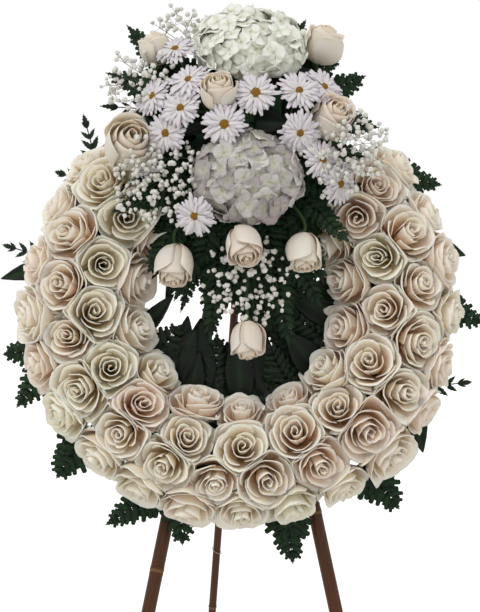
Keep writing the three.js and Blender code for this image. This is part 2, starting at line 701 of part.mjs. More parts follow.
// Fronds round the rim of the ring, behind the roses. Each bunch: its angle clockwise from the top, and
// the tips of its fronds.
const RIM_ROOT = 256;
const RIM_DEPTH = 14.5;
const RIM_FRONDS = [
  { round: 42, fronds: [{ tip: [284, 172, 13], wide: 46 }] },
  { round: 68, fronds: [{ tip: [316, 72, 12], wide: 30, kind: "leaf" }] },
  { round: 88, fronds: [{ tip: [340, -24, 12], wide: 44 }] },
  {
    round: 117,
    fronds: [
      { tip: [322, -106, 12], wide: 44, kind: "sprig" },
      { tip: [252, -204, 12], wide: 34, kind: "leaf" },
    ],
  },
  { round: 143, fronds: [{ tip: [218, -282, 12], wide: 52 }] },
  { round: 167, fronds: [{ tip: [70, -356, 12], wide: 50 }] },
  {
    round: 200,
    fronds: [
      { tip: [-82, -330, 12], wide: 46 },
      { tip: [-188, -302, 12], wide: 46 },
    ],
  },
  { round: 232, fronds: [{ tip: [-256, -238, 12], wide: 54 }] },
  {
    round: 257,
    fronds: [
      { tip: [-312, -140, 12], wide: 44 },
      { tip: [-332, -66, 12], wide: 44 },
    ],
  },
  {
    round: 284,
    fronds: [
      { tip: [-336, 40, 12], wide: 26, kind: "leaf" },
      { tip: [-334, 88, 12], wide: 42, kind: "sprig" },
    ],
  },
  {
    round: 311,
    fronds: [
      { tip: [-262, 192, 12], wide: 40, kind: "sprig" },
      { tip: [-222, 274, 12], wide: 44, kind: "sprig" },
    ],
  },
];
RIM_FRONDS.forEach(({ round, fronds }, i) => {
  const root = rim(round, RIM_ROOT, RIM_DEPTH);
  const body = clearOf(frondBunch(root, [0, 0, 1], fronds), taken);
  place(wreath, `rim_fern_${String(i + 1).padStart(2, "0")}`, body, fernGreen);
  taken.push(envelope(body, 1.01));
});

// Fronds of the spray, and those that hang into the ring's hole. A straight way stays open through the
// hole at the lower left.
const HOLE_GAP = { from: [-99, -61, -60], to: [-63, -25, 220] };
const holeGap = solid(
  new THREE.BoxGeometry(...[0, 1, 2].map((i) => HOLE_GAP.to[i] - HOLE_GAP.from[i] + 3)),
  new THREE.Matrix4().setPosition(
    point(...[0, 1, 2].map((i) => (HOLE_GAP.to[i] + HOLE_GAP.from[i]) / 2)),
  ),
);
taken.push(holeGap);
const SPRAY_FRONDS = [
  {
    name: "fern_spray_left",
    root: [-52, 262, 68],
    face: [-0.1, 0.1, 1],
    fronds: [
      { tip: [-186, 318, 76], wide: 56 },
      { tip: [-158, 386, 72], wide: 56 },
      { tip: [-192, 268, 92], wide: 44, kind: "sprig" },
    ],
  },
  {
    name: "fern_spray_right",
    root: [56, 262, 68],
    face: [0.1, 0.1, 1],
    fronds: [
      { tip: [172, 314, 76], wide: 64 },
      { tip: [188, 240, 84], wide: 60 },
      { tip: [118, 376, 66], wide: 46, kind: "leaf" },
    ],
  },
  {
    name: "fern_side_left",
    root: [-54, 168, 88],
    face: [-0.2, -0.1, 1],
    fronds: [
      { tip: [-172, 114, 140], wide: 50, kind: "frill" },
      { tip: [-128, 36, 104], wide: 60, kind: "frill" },
    ],
  },
  {
    name: "fern_side_right",
    root: [56, 168, 88],
    face: [0.2, -0.1, 1],
    fronds: [
      { tip: [142, 74, 134], wide: 50, kind: "frill" },
      { tip: [112, 20, 98], wide: 54, kind: "frill" },
    ],
  },
  {
    name: "fern_hanging_left",
    root: [-26, 136, 84],
    face: [0, 0, 1],
    fronds: [
      { tip: [-92, 0, 88], wide: 56, kind: "frill" },
      { tip: [-44, -58, 88], wide: 56, kind: "frill" },
    ],
  },
  {
    name: "fern_hanging_right",
    root: [30, 136, 84],
    face: [0, 0, 1],
    fronds: [
      { tip: [108, -10, 86], wide: 54, kind: "frill" },
      { tip: [64, -64, 84], wide: 58, kind: "frill" },
    ],
  },
];
for (const { name, root, face, fronds } of SPRAY_FRONDS) {
  const body = clearOf(frondBunch(point(...root), face, fronds), taken);
  place(wreath, name, body, fernGreen);
  const [front, back] = [body.translate([0, 0, 1]), body.translate([0, 0, -1])];
  taken.push(union([body, front, back]));
}

// Broad leaves at the inner foot of the ring, under the lowest rosebud.
const innerRoot = rim(190, RING_RADIUS - FOAM_HALF_WIDTH + 1, 26);
const innerLeaves = frondBunch(innerRoot, [0, 0.1, 1], [
  { tip: [-62, -62, 40], wide: 34, kind: "leaf" },
  { tip: [-26, -74, 34], wide: 34, kind: "leaf" },
  { tip: [30, -86, 34], wide: 34, kind: "leaf" },
  { tip: [66, -96, 44], wide: 30, kind: "leaf" },
]);
place(wreath, "leaves_inner", clearOf(innerLeaves, taken), leafGreen);

// Gypsophila: thin twigs that fan from one stem, with a small round floret on each, where there is room.
const FLORET = 3.6;
const blocked = (body) => taken.some((other) => !apart(body, other) && body.intersect(other).volume() > 0);
GYPSOPHILA.forEach(({ name, middle, spread, count, fork, stalk }, bunch) => {
  const bodies = [stalk, solid(new THREE.OctahedronGeometry(2.8), new THREE.Matrix4().setPosition(fork))];
  for (let i = 0; i < 3 * count && bodies.length < 2 * count + 2; i++) {
    const seed = 900 + 50 * bunch + i;
    const round = i * 2.39996;
    const wide = spread * Math.sqrt((i + 0.5) / (3 * count));
    const rise = 16 * (wobble(seed) - 0.5);
    const tip = point(...middle).add(point(wide * Math.cos(round), wide * Math.sin(round), rise));
    const floret = solid(new THREE.OctahedronGeometry(FLORET), new THREE.Matrix4().setPosition(tip));
    const twig = solid(tube([fork.clone().lerp(tip, 0.04), tip], 0.7, 3, 1));
    if (!blocked(floret) && !blocked(twig)) bodies.push(twig, floret);
  }
  place(wreath, name, clearOf(union(bodies), taken), gypsophilaWhite);
});

// The wreath's frame leans back over the floor, and the whole is centred over its base.
const standing = new THREE.Group();
wreath.rotation.x = Math.PI / 2 - lean;
wreath.position.z = CENTRE_HEIGHT;
standing.add(wreath);
standing.updateMatrixWorld(true);
const bounds = new THREE.Box3().setFromObject(standing, true);
const middle = bounds.getCenter(point(0, 0, 0));
standing.position.set(-middle.x, -middle.y, -bounds.min.z);

export default standing;
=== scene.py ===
import math

import bmesh
import bpy
from mathutils import Matrix, Vector


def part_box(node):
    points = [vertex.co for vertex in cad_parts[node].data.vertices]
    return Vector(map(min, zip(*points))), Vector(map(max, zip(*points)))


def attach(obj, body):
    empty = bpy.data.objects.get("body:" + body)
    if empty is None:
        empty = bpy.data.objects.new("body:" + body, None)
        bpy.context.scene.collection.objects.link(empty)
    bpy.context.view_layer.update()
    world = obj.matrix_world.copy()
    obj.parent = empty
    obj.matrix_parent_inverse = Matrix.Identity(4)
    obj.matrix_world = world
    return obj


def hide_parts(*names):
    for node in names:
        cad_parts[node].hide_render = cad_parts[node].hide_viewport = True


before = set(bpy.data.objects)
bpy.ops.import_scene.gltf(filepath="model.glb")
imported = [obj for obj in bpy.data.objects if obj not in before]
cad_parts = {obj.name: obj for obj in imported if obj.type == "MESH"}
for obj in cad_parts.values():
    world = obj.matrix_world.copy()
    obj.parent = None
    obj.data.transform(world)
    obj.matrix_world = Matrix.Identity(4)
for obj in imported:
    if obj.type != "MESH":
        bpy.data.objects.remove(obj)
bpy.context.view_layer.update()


# The wreath's own frame and the camera.
# The ring leans back 12 degrees. Its own frame has x to the right, y up the wreath and z towards the
# viewer, in millimetres from the middle of the ring's back. The camera looks at it from 2.3 m.
LEAN = math.radians(12)
TRAY_HEIGHT = 12
tray_low, tray_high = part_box("base_ring")
FRONT = Vector((0, -math.cos(LEAN), math.sin(LEAN)))
RISE = Vector((0, math.sin(LEAN), math.cos(LEAN)))
ring_back = (tray_low + tray_high) / 2 - FRONT * TRAY_HEIGHT / 2000
IN_ROW = Matrix((Vector((1, 0, 0)), RISE, FRONT)).transposed().to_4x4()
IN_ROW = Matrix.Translation(ring_back) @ IN_ROW @ Matrix.Scale(0.001, 4)

MIDDLE_OF_VIEW = Vector((-2.5, -4.5, 60))
CAMERA_DISTANCE = 2.3
CAMERA_RISE = math.radians(6)
CAMERA_ROUND = math.radians(-1)
FRAME_WIDTH = 0.656  # what the picture's width takes in at the wreath
SENSOR_WIDTH = 36
CAMERA_REACH = 30
look_at = IN_ROW @ MIDDLE_OF_VIEW
look_from = look_at + CAMERA_DISTANCE * Vector((
    math.sin(CAMERA_ROUND) * math.cos(CAMERA_RISE),
    -math.cos(CAMERA_ROUND) * math.cos(CAMERA_RISE),
    math.sin(CAMERA_RISE),
))
camera_data = bpy.data.cameras.new("camera")
camera_data.sensor_fit = "HORIZONTAL"
camera_data.sensor_width = SENSOR_WIDTH
camera_data.lens = SENSOR_WIDTH * CAMERA_DISTANCE / FRAME_WIDTH
camera_data.clip_end = CAMERA_REACH
camera = bpy.data.objects.new("camera", camera_data)
camera.location = look_from
camera.rotation_euler = (look_at - look_from).to_track_quat("-Z", "Y").to_euler()
bpy.context.collection.objects.link(camera)
bpy.context.scene.camera = camera
bpy.context.scene.view_settings.view_transform = "Standard"


# Studio: a pale floor, a white room and one soft lamp.
# The room and the matt floor are plain white to the camera, as in a cut-out picture, and light the
# flowers from all round. The lamp stands high on the left and shades each bloom.
def linear(hex_colour):
    channels = [int(hex_colour[i : i + 2], 16) / 255 for i in (1, 3, 5)]
    return [*(c / 12.92 if c <= 0.04045 else ((c + 0.055) / 1.055) ** 2.4 for c in channels), 1]


def add_node(material, kind, inputs=None, **settings):
    node = material.node_tree.nodes.new(kind)
    for name, value in settings.items():
        setattr(node, name, value)
    for socket, value in (inputs or {}).items():
        if isinstance(value, bpy.types.NodeSocket):
            material.node_tree.links.new(value, node.inputs[socket])
        else:
            node.inputs[socket].default_value = value
    return node


def new_material(name):
    material = bpy.data.materials.new(name)
    material.use_nodes = True
    return material, material.node_tree.nodes["Principled BSDF"]


def link(material, output, socket):
    material.node_tree.links.new(output, socket)


def repeats(millimetres):
    """The scale of a pattern on metre coordinates whose grains are this wide."""
    return 1000 / millimetres


def blend_colours(material, factor, low, high):
    mix = add_node(material, "ShaderNodeMix", {0: factor}, data_type="RGBA")
    for index, colour in ((6, low), (7, high)):
        if isinstance(colour, str):
            mix.inputs[index].default_value = linear(colour)
        else:
            link(material, colour, mix.inputs[index])
    return mix.outputs[2]


ROOM_LIGHT = 0.78
LAMP_POWER = 0.85
LAMP_SPREAD = math.radians(30)
LAMP_WAY = Vector((0.42, 0.55, -1))
room = bpy.data.worlds.new("room")
room.use_nodes = True
room_nodes, room_links = room.node_tree.nodes, room.node_tree.links
room_seen = room_nodes.new("ShaderNodeLightPath")
room_light = room_nodes.new("ShaderNodeMapRange")
room_light.inputs["To Min"].default_value = ROOM_LIGHT
room_links.new(room_seen.outputs["Is Camera Ray"], room_light.inputs["Value"])
room_links.new(room_light.outputs["Result"], room_nodes["Background"].inputs["Strength"])
room_nodes["Background"].inputs["Color"].default_value = (1, 1, 1, 1)
bpy.context.scene.world = room

lamp_data = bpy.data.lights.new("lamp", "SUN")
lamp_data.energy = LAMP_POWER
lamp_data.angle = LAMP_SPREAD
lamp = bpy.data.objects.new("lamp", lamp_data)
lamp.rotation_euler = LAMP_WAY.to_track_quat("-Z", "Y").to_euler()
bpy.context.collection.objects.link(lamp)

# Painted board, rolled matt: a plain pale floor with no shine and hardly any mottle. A little light
# of its own keeps it white to the camera; the flowers don't receive it.
FLOOR_MOTTLE = 25
FLOOR_GLOW = 0.42
FLOOR_HALF = 9
floor_paint, floor_surface = new_material("matt_studio_floor")
floor_place = add_node(floor_paint, "ShaderNodeTexCoord")
floor_grain = add_node(
    floor_paint, "ShaderNodeTexNoise",
    {"Vector": floor_place.outputs["Object"], "Scale": repeats(FLOOR_MOTTLE), "Detail": 2},
)
link(
    floor_paint,
    blend_colours(floor_paint, floor_grain.outputs["Fac"], "#e2e1dd", "#e7e6e2"),
    floor_surface.inputs["Base Color"],
)
floor_seen = add_node(floor_paint, "ShaderNodeLightPath")
floor_lift = add_node(
    floor_paint, "ShaderNodeMapRange",
    {"Value": floor_seen.outputs["Is Camera Ray"], "To Max": FLOOR_GLOW},
)
link(floor_paint, floor_lift.outputs["Result"], floor_surface.inputs["Emission Strength"])
floor_surface.inputs["Emission Color"].default_value = (1, 1, 1, 1)
floor_surface.inputs["Roughness"].default_value = 0.9
floor_bm = bmesh.new()
bmesh.ops.create_grid(floor_bm, x_segments=2, y_segments=2, size=FLOOR_HALF)
floor_mesh = bpy.data.meshes.new("floor")
floor_bm.to_mesh(floor_mesh)
floor_bm.free()
floor_mesh.materials.append(floor_paint)
floor = bpy.data.objects.new("floor", floor_mesh)
bpy.context.collection.objects.link(floor)


# Tray: a moulded ring that holds the foam.
# Dark green polypropylene, moulded as one open channel with a flat back. The tie wires pass through
# its floor.
def wobble(seed):
    """A number from 0 to 1 that is fixed for each seed and looks like chance."""
    wave = math.sin(seed * 12.9898) * 43758.5453
    return wave - math.floor(wave)


def finish_piece(bm, name, material, nodes=(), thickness=0.0):
    """Puts a mesh modelled in the wreath's frame into the scene, to ride on the one body."""
    bmesh.ops.transform(bm, matrix=IN_ROW, verts=bm.verts)
    for face in bm.faces:
        face.smooth = True
    mesh = bpy.data.meshes.new(name)
    bm.to_mesh(mesh)
    bm.free()
    piece = bpy.data.objects.new(name, mesh)
    bpy.context.collection.objects.link(piece)
    for one in material if isinstance(material, (list, tuple)) else [material]:
        mesh.materials.append(one)
    if thickness:
        wall = piece.modifiers.new("thickness", "SOLIDIFY")
        wall.thickness = thickness / 1000
        wall.offset = 0
    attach(piece, "root")
    if nodes:
        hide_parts(*nodes)


def turned(bm, profile, steps):
    """Spins a profile of radius and height round the z axis."""
    verts = [bm.verts.new((r, 0, h)) for r, h in profile]
    edges = [bm.edges.new(pair) for pair in zip(verts, verts[1:])]
    bmesh.ops.spin(
        bm, geom=verts + edges, cent=(0, 0, 0), axis=(0, 0, 1), dvec=(0, 0, 0),
        angle=2 * math.pi, steps=steps, use_merge=True, use_duplicate=False,
    )
    bmesh.ops.remove_doubles(bm, verts=bm.verts, dist=0.001)
    bmesh.ops.recalc_face_normals(bm, faces=bm.faces)


# Polypropylene, injection moulded: an even dark green with a dull shine and a faint grain. The grain
# is drawn coarser than the real one, which is a tenth of a millimetre.
TRAY_GRAIN = 1.1
tray_plastic, tray_surface = new_material("moulded_polypropylene")
tray_place = add_node(tray_plastic, "ShaderNodeTexCoord")
tray_noise = add_node(
    tray_plastic, "ShaderNodeTexNoise",
    {"Vector": tray_place.outputs["Object"], "Scale": repeats(TRAY_GRAIN), "Detail": 2},
)
link(
    tray_plastic,
    blend_colours(tray_plastic, tray_noise.outputs["Fac"], "#17251a", "#25382a"),
    tray_surface.inputs["Base Color"],
)
tray_bump = add_node(
    tray_plastic, "ShaderNodeBump",
    {"Strength": 0.15, "Distance": 0.0003, "Height": tray_noise.outputs["Fac"]},
)
link(tray_plastic, tray_bump.outputs["Normal"], tray_surface.inputs["Normal"])
tray_surface.inputs["Roughness"].default_value = 0.5

RING_RADIUS = 212
TRAY_INNER = 162
TRAY_OUTER = 262
TRAY_WALL = 2.7
TRAY_FLOOR = 3
TRAY_EDGE = 0.6
tray_bm = bmesh.new()
turned(tray_bm, [
    (TRAY_INNER, 0), (TRAY_OUTER, 0), (TRAY_OUTER, TRAY_HEIGHT), (TRAY_OUTER - TRAY_WALL, TRAY_HEIGHT),
    (TRAY_OUTER - TRAY_WALL, TRAY_FLOOR), (TRAY_INNER + TRAY_WALL, TRAY_FLOOR),
    (TRAY_INNER + TRAY_WALL, TRAY_HEIGHT), (TRAY_INNER, TRAY_HEIGHT), (TRAY_INNER, 0),
], 96)
bmesh.ops.bevel(
    tray_bm, geom=[e for e in tray_bm.edges if e.is_manifold and e.calc_face_angle(0) > 0.5],
    offset=TRAY_EDGE, offset_type="OFFSET", segments=2, profile=0.5, affect="EDGES", material=-1,
)
finish_piece(tray_bm, "tray", tray_plastic, ["base_ring"])


# Floral foam: the ring in the tray and the block at its top.
# Green phenolic foam, cut from a cast block and soft enough to push stems into. The ring is pressed
# into the tray, and the block sits on its top.
FOAM_CELL = 2.4

# Phenolic foam, cast: matt and speckled, with no shine. Its cells are drawn coarser than the real
# ones, which are half a millimetre wide.
floral_foam, foam_surface = new_material("phenolic_floral_foam")
foam_place = add_node(floral_foam, "ShaderNodeTexCoord")
foam_cells = add_node(
    floral_foam, "ShaderNodeTexNoise",
    {
        "Vector": foam_place.outputs["Object"], "Scale": repeats(FOAM_CELL),
        "Detail": 6, "Roughness": 0.7,
    },
)
link(
    floral_foam,
    blend_colours(floral_foam, foam_cells.outputs["Fac"], "#16301b", "#2f5435"),
    foam_surface.inputs["Base Color"],
)
foam_bump = add_node(
    floral_foam, "ShaderNodeBump",
    {"Strength": 0.6, "Distance": 0.001, "Height": foam_cells.outputs["Fac"]},
)
link(floral_foam, foam_bump.outputs["Normal"], foam_surface.inputs["Normal"])
foam_surface.inputs["Roughness"].default_value = 0.95

FOAM_WIDE, FOAM_DEEP, FOAM_CORE = 47, 34, 25
FOAM_BACK = 3.3
foam_bm = bmesh.new()
foam_section = [(RING_RADIUS + FOAM_WIDE, FOAM_BACK)]
for i in range(13):
    turn = math.pi * i / 12
    height = FOAM_CORE + FOAM_DEEP * math.sin(turn)
    foam_section.append((RING_RADIUS + FOAM_WIDE * math.cos(turn), height))
foam_section += [(RING_RADIUS - FOAM_WIDE, FOAM_BACK), (RING_RADIUS + FOAM_WIDE, FOAM_BACK)]
turned(foam_bm, foam_section, 72)
finish_piece(foam_bm, "foam_in_tray", floral_foam, ["foam_ring"])

BLOCK_MIDDLE, BLOCK_SIZE = Vector((2, 215, 82)), Vector((104, 150, 50))
block_bm = bmesh.new()
bmesh.ops.create_cube(block_bm, size=1)
bmesh.ops.scale(block_bm, vec=BLOCK_SIZE, verts=block_bm.verts)
bmesh.ops.translate(block_bm, vec=BLOCK_MIDDLE, verts=block_bm.verts)
bmesh.ops.bevel(
    block_bm, geom=block_bm.edges[:], offset=3, offset_type="OFFSET", segments=3, profile=0.5,
    affect="EDGES", material=-1,
)
finish_piece(block_bm, "foam_block", floral_foam, ["spray_foam"])


# Easel: three bamboo canes.
# Cane stained dark brown, 12 to 19 mm thick, with a raised ring and a pale line at each node. The
# two front canes cross behind the top of the ring, and the rear one leans in behind them.
FIBRE_WIDTH = 1.1
FIBRE_LENGTH = 45  # how many times longer than wide a streak is
PATCH_WIDTH = 6.2

# Bamboo, dried, stained and varnished: streaks that run along it under a soft gloss. The streaks are
# drawn coarser than the real fibres, which are a third of a millimetre wide.
bamboo, bamboo_surface = new_material("stained_bamboo")
cane_grain = add_node(bamboo, "ShaderNodeAttribute", attribute_name="grain")
cane_ring = add_node(bamboo, "ShaderNodeAttribute", attribute_name="ring")
cane_streaks = add_node(
    bamboo, "ShaderNodeTexNoise",
    {"Vector": cane_grain.outputs["Vector"], "Scale": 1 / FIBRE_WIDTH, "Detail": 5, "Roughness": 0.65},
)
cane_patches = add_node(
    bamboo, "ShaderNodeTexNoise",
    {"Vector": cane_grain.outputs["Vector"], "Scale": 1 / PATCH_WIDTH, "Detail": 2},
)
cane_spread = add_node(
    bamboo, "ShaderNodeMapRange",
    {"Value": cane_streaks.outputs["Fac"], "From Min": 0.35, "From Max": 0.68},
)
cane_brown = blend_colours(bamboo, cane_spread.outputs["Result"], "#221006", "#6a4019")
cane_warm = blend_colours(bamboo, cane_patches.outputs["Fac"], cane_brown, "#4a2508")
link(
    bamboo,
    blend_colours(bamboo, cane_ring.outputs["Fac"], cane_warm, "#7d5c35"),
    bamboo_surface.inputs["Base Color"],
)
cane_bump = add_node(
    bamboo, "ShaderNodeBump",
    {"Strength": 0.35, "Distance": 0.0004, "Height": cane_streaks.outputs["Fac"]},
)
link(bamboo, cane_bump.outputs["Normal"], bamboo_surface.inputs["Normal"])
bamboo_surface.inputs["Roughness"].default_value = 0.45
bamboo_surface.inputs["Specular IOR Level"].default_value = 0.3
bamboo_surface.inputs["Coat Weight"].default_value = 0.05
bamboo_surface.inputs["Coat Roughness"].default_value = 0.2

CROSSING, RING_CENTRE = 210, 915
CANE_SPARE = 30  # what is sawn off level with the floor
FLOOR_WAY = Vector((0, math.cos(LEAN), math.sin(LEAN)))
CANE_SPLAY = 0.205
OVER_CROSSING = 53
FRONT_CANE, REAR_CANE = 9.5, 6
REAR_TOP, REAR_WAY = (8, CROSSING + 2, -48.3), (-0.0737, -1, -0.577)
# Each cane's name, node, point at the crossing, way down, length over the crossing, radius, and how
# far down its nodes are.
CANES = [
    ("cane_front_left", "leg_front_left", (0, CROSSING, -13.2), (-CANE_SPLAY, -1, 0), OVER_CROSSING,
     FRONT_CANE, (180, 395, 640, 905)),
    ("cane_front_right", "leg_front_right", (0, CROSSING, -32.8), (CANE_SPLAY, -1, 19.6 / 422),
     OVER_CROSSING, FRONT_CANE, (150, 348, 561, 830)),
    ("cane_rear", "leg_rear", REAR_TOP, REAR_WAY, 0, REAR_CANE, (165, 372, 575, 760, 960)),
]


def cane_profile(length, radius, rings):
    """Radius and height along a cane, with a groove and a raised lip at each node."""
    profile = [(0.001, 0), (radius - 0.8, 0), (radius, -0.8)]
    for down in rings:
        profile += [(radius, 8 - down), (radius + 0.35, 3 - down), (radius + 0.8, 1 - down)]
        profile += [(radius + 0.8, -down), (radius - 0.1, -down - 1.2), (radius + 0.35, -down - 3)]
        profile += [(radius, -down - 8)]
    return profile + [(radius, -length), (0.001, -length)]


for name, node, at, along, over, radius, rings in CANES:
    start, way = Vector(at), Vector(along).normalized()
    length = over + (-RING_CENTRE - FLOOR_WAY.dot(start)) / FLOOR_WAY.dot(way)
    top = start - way * over
    cane_bm = bmesh.new()
    turned(cane_bm, cane_profile(length + CANE_SPARE, radius, rings), 28)
    grain = cane_bm.verts.layers.float_vector.new("grain")
    ring = cane_bm.verts.layers.float.new("ring")
    for vert in cane_bm.verts:
        vert[grain] = (vert.co.x, vert.co.y, vert.co.z / FIBRE_LENGTH)
        vert[ring] = 0.75 * any(-1.6 < vert.co.z + down < 2.5 for down in rings)
    turn = (-way).to_track_quat("Z", "Y").to_matrix().to_4x4()
    bmesh.ops.transform(cane_bm, matrix=Matrix.Translation(top) @ turn, verts=cane_bm.verts)
    bmesh.ops.bisect_plane(
        cane_bm, geom=cane_bm.verts[:] + cane_bm.edges[:] + cane_bm.faces[:],
        plane_co=FLOOR_WAY * -RING_CENTRE, plane_no=FLOOR_WAY, clear_inner=True,
    )
    bmesh.ops.holes_fill(cane_bm, edges=[e for e in cane_bm.edges if e.is_boundary])
    bmesh.ops.recalc_face_normals(cane_bm, faces=cane_bm.faces)
    finish_piece(cane_bm, name, bamboo, [node])


# Wires: the lashing, the ties and the loop on the rear cane.
# Galvanised binding wire. The lashing is wound eight times round the crossing; each tie goes round
# a cane and through the tray.
def sweep(bm, stations, radius, sides=6, closed=False, taper=1.0):
    """Extrudes a circle from station to station."""
    count = len(stations)
    loops = []
    for i, spot in enumerate(stations):
        before = stations[i - 1] if i or closed else spot
        after = stations[(i + 1) % count] if i < count - 1 or closed else spot
        way = (after - before).normalized()
        size = radius * (1 + (taper - 1) * i / max(1, count - 1))
        turn = way.to_track_quat("Z", "Y").to_matrix().to_4x4()
        place = Matrix.Translation(spot) @ turn @ Matrix.Scale(size, 4)
        if not i:
            made = bmesh.ops.create_circle(bm, segments=sides, radius=1, cap_ends=False, matrix=place)
            edges = list({edge for vert in made["verts"] for edge in vert.link_edges})
        else:
            made = bmesh.ops.extrude_edge_only(bm, edges=edges)["geom"]
            verts = [g for g in made if isinstance(g, bmesh.types.BMVert)]
            edges = [g for g in made if isinstance(g, bmesh.types.BMEdge)
                     and g.verts[0] in verts and g.verts[1] in verts]
            for vert in verts:
                vert.co = place @ (last.inverted() @ vert.co)
        last = place
        loops.append(edges)
    if closed:
        bmesh.ops.bridge_loops(bm, edges=loops[0] + loops[-1])
    else:
        for edges in (loops[0], loops[-1]):
            bmesh.ops.holes_fill(bm, edges=edges, sides=sides)


# Steel wire, drawn and galvanised: grey metal with a broken shine from its spangles.
SPANGLE = 1.7
binding_wire, wire_surface = new_material("galvanised_binding_wire")
wire_place = add_node(binding_wire, "ShaderNodeTexCoord")
wire_spangle = add_node(
    binding_wire, "ShaderNodeTexNoise",
    {"Vector": wire_place.outputs["Object"], "Scale": repeats(SPANGLE), "Detail": 3},
)
link(
    binding_wire,
    blend_colours(binding_wire, wire_spangle.outputs["Fac"], "#8b877f", "#cfcac0"),
    wire_surface.inputs["Base Color"],
)
wire_surface.inputs["Metallic"].default_value = 0.85
wire_surface.inputs["Roughness"].default_value = 0.38

LASHING_TURNS, LASHING_STEPS = 8, 28
LASHING_WIDE, LASHING_DEEP, LASHING_HIGH = 14.4, 32.4, 14
LASHING_FOOT = Vector((2, 198, -33.6))
LASHING_WIRE, TIE_WIRE, LOOP_WIRE = 0.95, 1.1, 0.6
lashing_bm = bmesh.new()
lashing_path = []
for i in range(LASHING_TURNS * LASHING_STEPS + 1):
    share = i / LASHING_STEPS
    turn = 2 * math.pi * share
    straight = LASHING_DEEP - LASHING_WIDE
    across, deep = LASHING_WIDE * math.cos(turn), LASHING_WIDE * math.sin(turn)
    deep += straight * (1 if math.sin(turn) > 0.001 else -1 if math.sin(turn) < -0.001 else 0)
    lashing_path.append(LASHING_FOOT + Vector((across, LASHING_HIGH * share / LASHING_TURNS, deep)))
sweep(lashing_bm, lashing_path, LASHING_WIRE, 6)
finish_piece(lashing_bm, "lashing", binding_wire, ["head_lashing"])


def ellipse(middle, way, wide, deep, steps=28):
    turn = Vector((0, 1, 0)).rotation_difference(Vector(way).normalized())
    return [
        Vector(middle) + turn @ Vector((wide * math.cos(a), 0, deep * math.sin(a)))
        for a in (2 * math.pi * i / steps for i in range(steps))
    ]


TIE_ACROSS = CANE_SPLAY * 415  # where the front canes are at the two lower ties
TIES = [
    ("tie_left", "tie_wire_left", (-TIE_ACROSS, -205, -9.6), (CANE_SPLAY, 1, 0), 13.6, 16.2),
    ("tie_right", "tie_wire_right", (TIE_ACROSS, -205, -9.6), (-CANE_SPLAY, 1, 0), 13.6, 16.2),
    ("tie_top", "tie_wire_top", (0, 185, -24), (0, 1, 0), 21, 28.4),
]
for name, node, middle, way, wide, deep in TIES:
    tie_bm = bmesh.new()
    sweep(tie_bm, ellipse(middle, way, wide, deep), TIE_WIRE, 8, closed=True)
    finish_piece(tie_bm, name, binding_wire, [node])

LOOP_DOWN = 653
rear_way = Vector(REAR_WAY).normalized()
rear_spot = Vector(REAR_TOP) + rear_way * LOOP_DOWN
loop_way = -rear_way + Vector((0.55, 0, 0))
loop_bm = bmesh.new()
sweep(loop_bm, ellipse(rear_spot, loop_way, 8.5, 7.4, 24), LOOP_WIRE, 6, closed=True)
finish_piece(loop_bm, "loop_on_rear_cane", binding_wire, ["rear_leg_wire"])


# Ring roses.
# Open cream roses, cut on short stems and pushed into the foam until they press together. Each has a
# tight spiral heart, then cupped petals that open outwards and roll back at their rims.
HEART_PETALS, CUP_PETALS, OUTER_PETALS = 7, 6, 7
ROSE_DEPTH = 0.88
ROSE_TIPPED, ROSE_SQUASHED = 0.24, 0.18  # the most that a bloom leans and narrows
ROSE_FULL = 1.16  # how much wider petals are than the room a bloom has
PRESS = 9  # how far from a neighbour a petal begins to bend back
PRESS_PAST = 3  # how far petals of neighbours reach into each other
GOLDEN_TURN = 2.39996  # from each petal or floret to the next, as plants grow them
ANY_TURN = 6.3  # times a number from 0 to 1, turns a bloom or a wave anywhere
PETAL_MOTTLE = 11


def petal_material(name, pale, warm, blush, green, deep):
    """A grown rose petal: matt velvety skin that light soaks into, with pale cream rims. Towards its
    foot, deep in the folds, each petal is painted warm: partly the rose's own peach heart, partly
    painted glow of light in the folds. Each bloom has a tint of its own, and cloudy patches cross the
    petals."""
    material, surface = new_material(name)
    heart = add_node(material, "ShaderNodeAttribute", attribute_name="heart")
    tint = add_node(material, "ShaderNodeAttribute", attribute_name="tint")
    place = add_node(material, "ShaderNodeTexCoord")
    cells = add_node(
        material, "ShaderNodeTexNoise",
        {"Vector": place.outputs["Object"], "Scale": repeats(PETAL_MOTTLE), "Detail": 4},
    )
    pinker = add_node(
        material, "ShaderNodeMapRange",
        {"Value": tint.outputs["Fac"], "From Min": 0.55, "From Max": 1.0},
    )
    greener = add_node(
        material, "ShaderNodeMapRange",
        {"Value": tint.outputs["Fac"], "From Min": 0.35, "From Max": 0.0},
    )
    rim = blend_colours(material, pinker.outputs["Result"], pale, blush)
    rim = blend_colours(material, greener.outputs["Result"], rim, green)
    inner = blend_colours(material, greener.outputs["Result"], warm, deep)
    skin = blend_colours(material, heart.outputs["Fac"], rim, inner)
    mottled = add_node(
        material, "ShaderNodeMix", {0: 0.10, 7: cells.outputs["Color"]},
        data_type="RGBA", blend_type="SOFT_LIGHT",
    )
    link(material, skin, mottled.inputs[6])
    link(material, mottled.outputs[2], surface.inputs["Base Color"])
    bump = add_node(
        material, "ShaderNodeBump",
        {"Strength": 0.12, "Distance": 0.0006, "Height": cells.outputs["Fac"]},
    )
    link(material, bump.outputs["Normal"], surface.inputs["Normal"])
    surface.inputs["Roughness"].default_value = 0.6
    surface.inputs["Subsurface Weight"].default_value = 0.45
    surface.inputs["Subsurface Radius"].default_value = (0.003, 0.002, 0.0012)
    surface.inputs["Subsurface Scale"].default_value = 1
    surface.inputs["Sheen Weight"].default_value = 0.1
    return material


# The warm colour is partly the rose's own peach heart and partly painted glow in the folds.
rose_skin = petal_material("cream_rose_petal", "#f7f1e4", "#f5c599", "#f6e9de", "#f5f1e2", "#efd9a4")


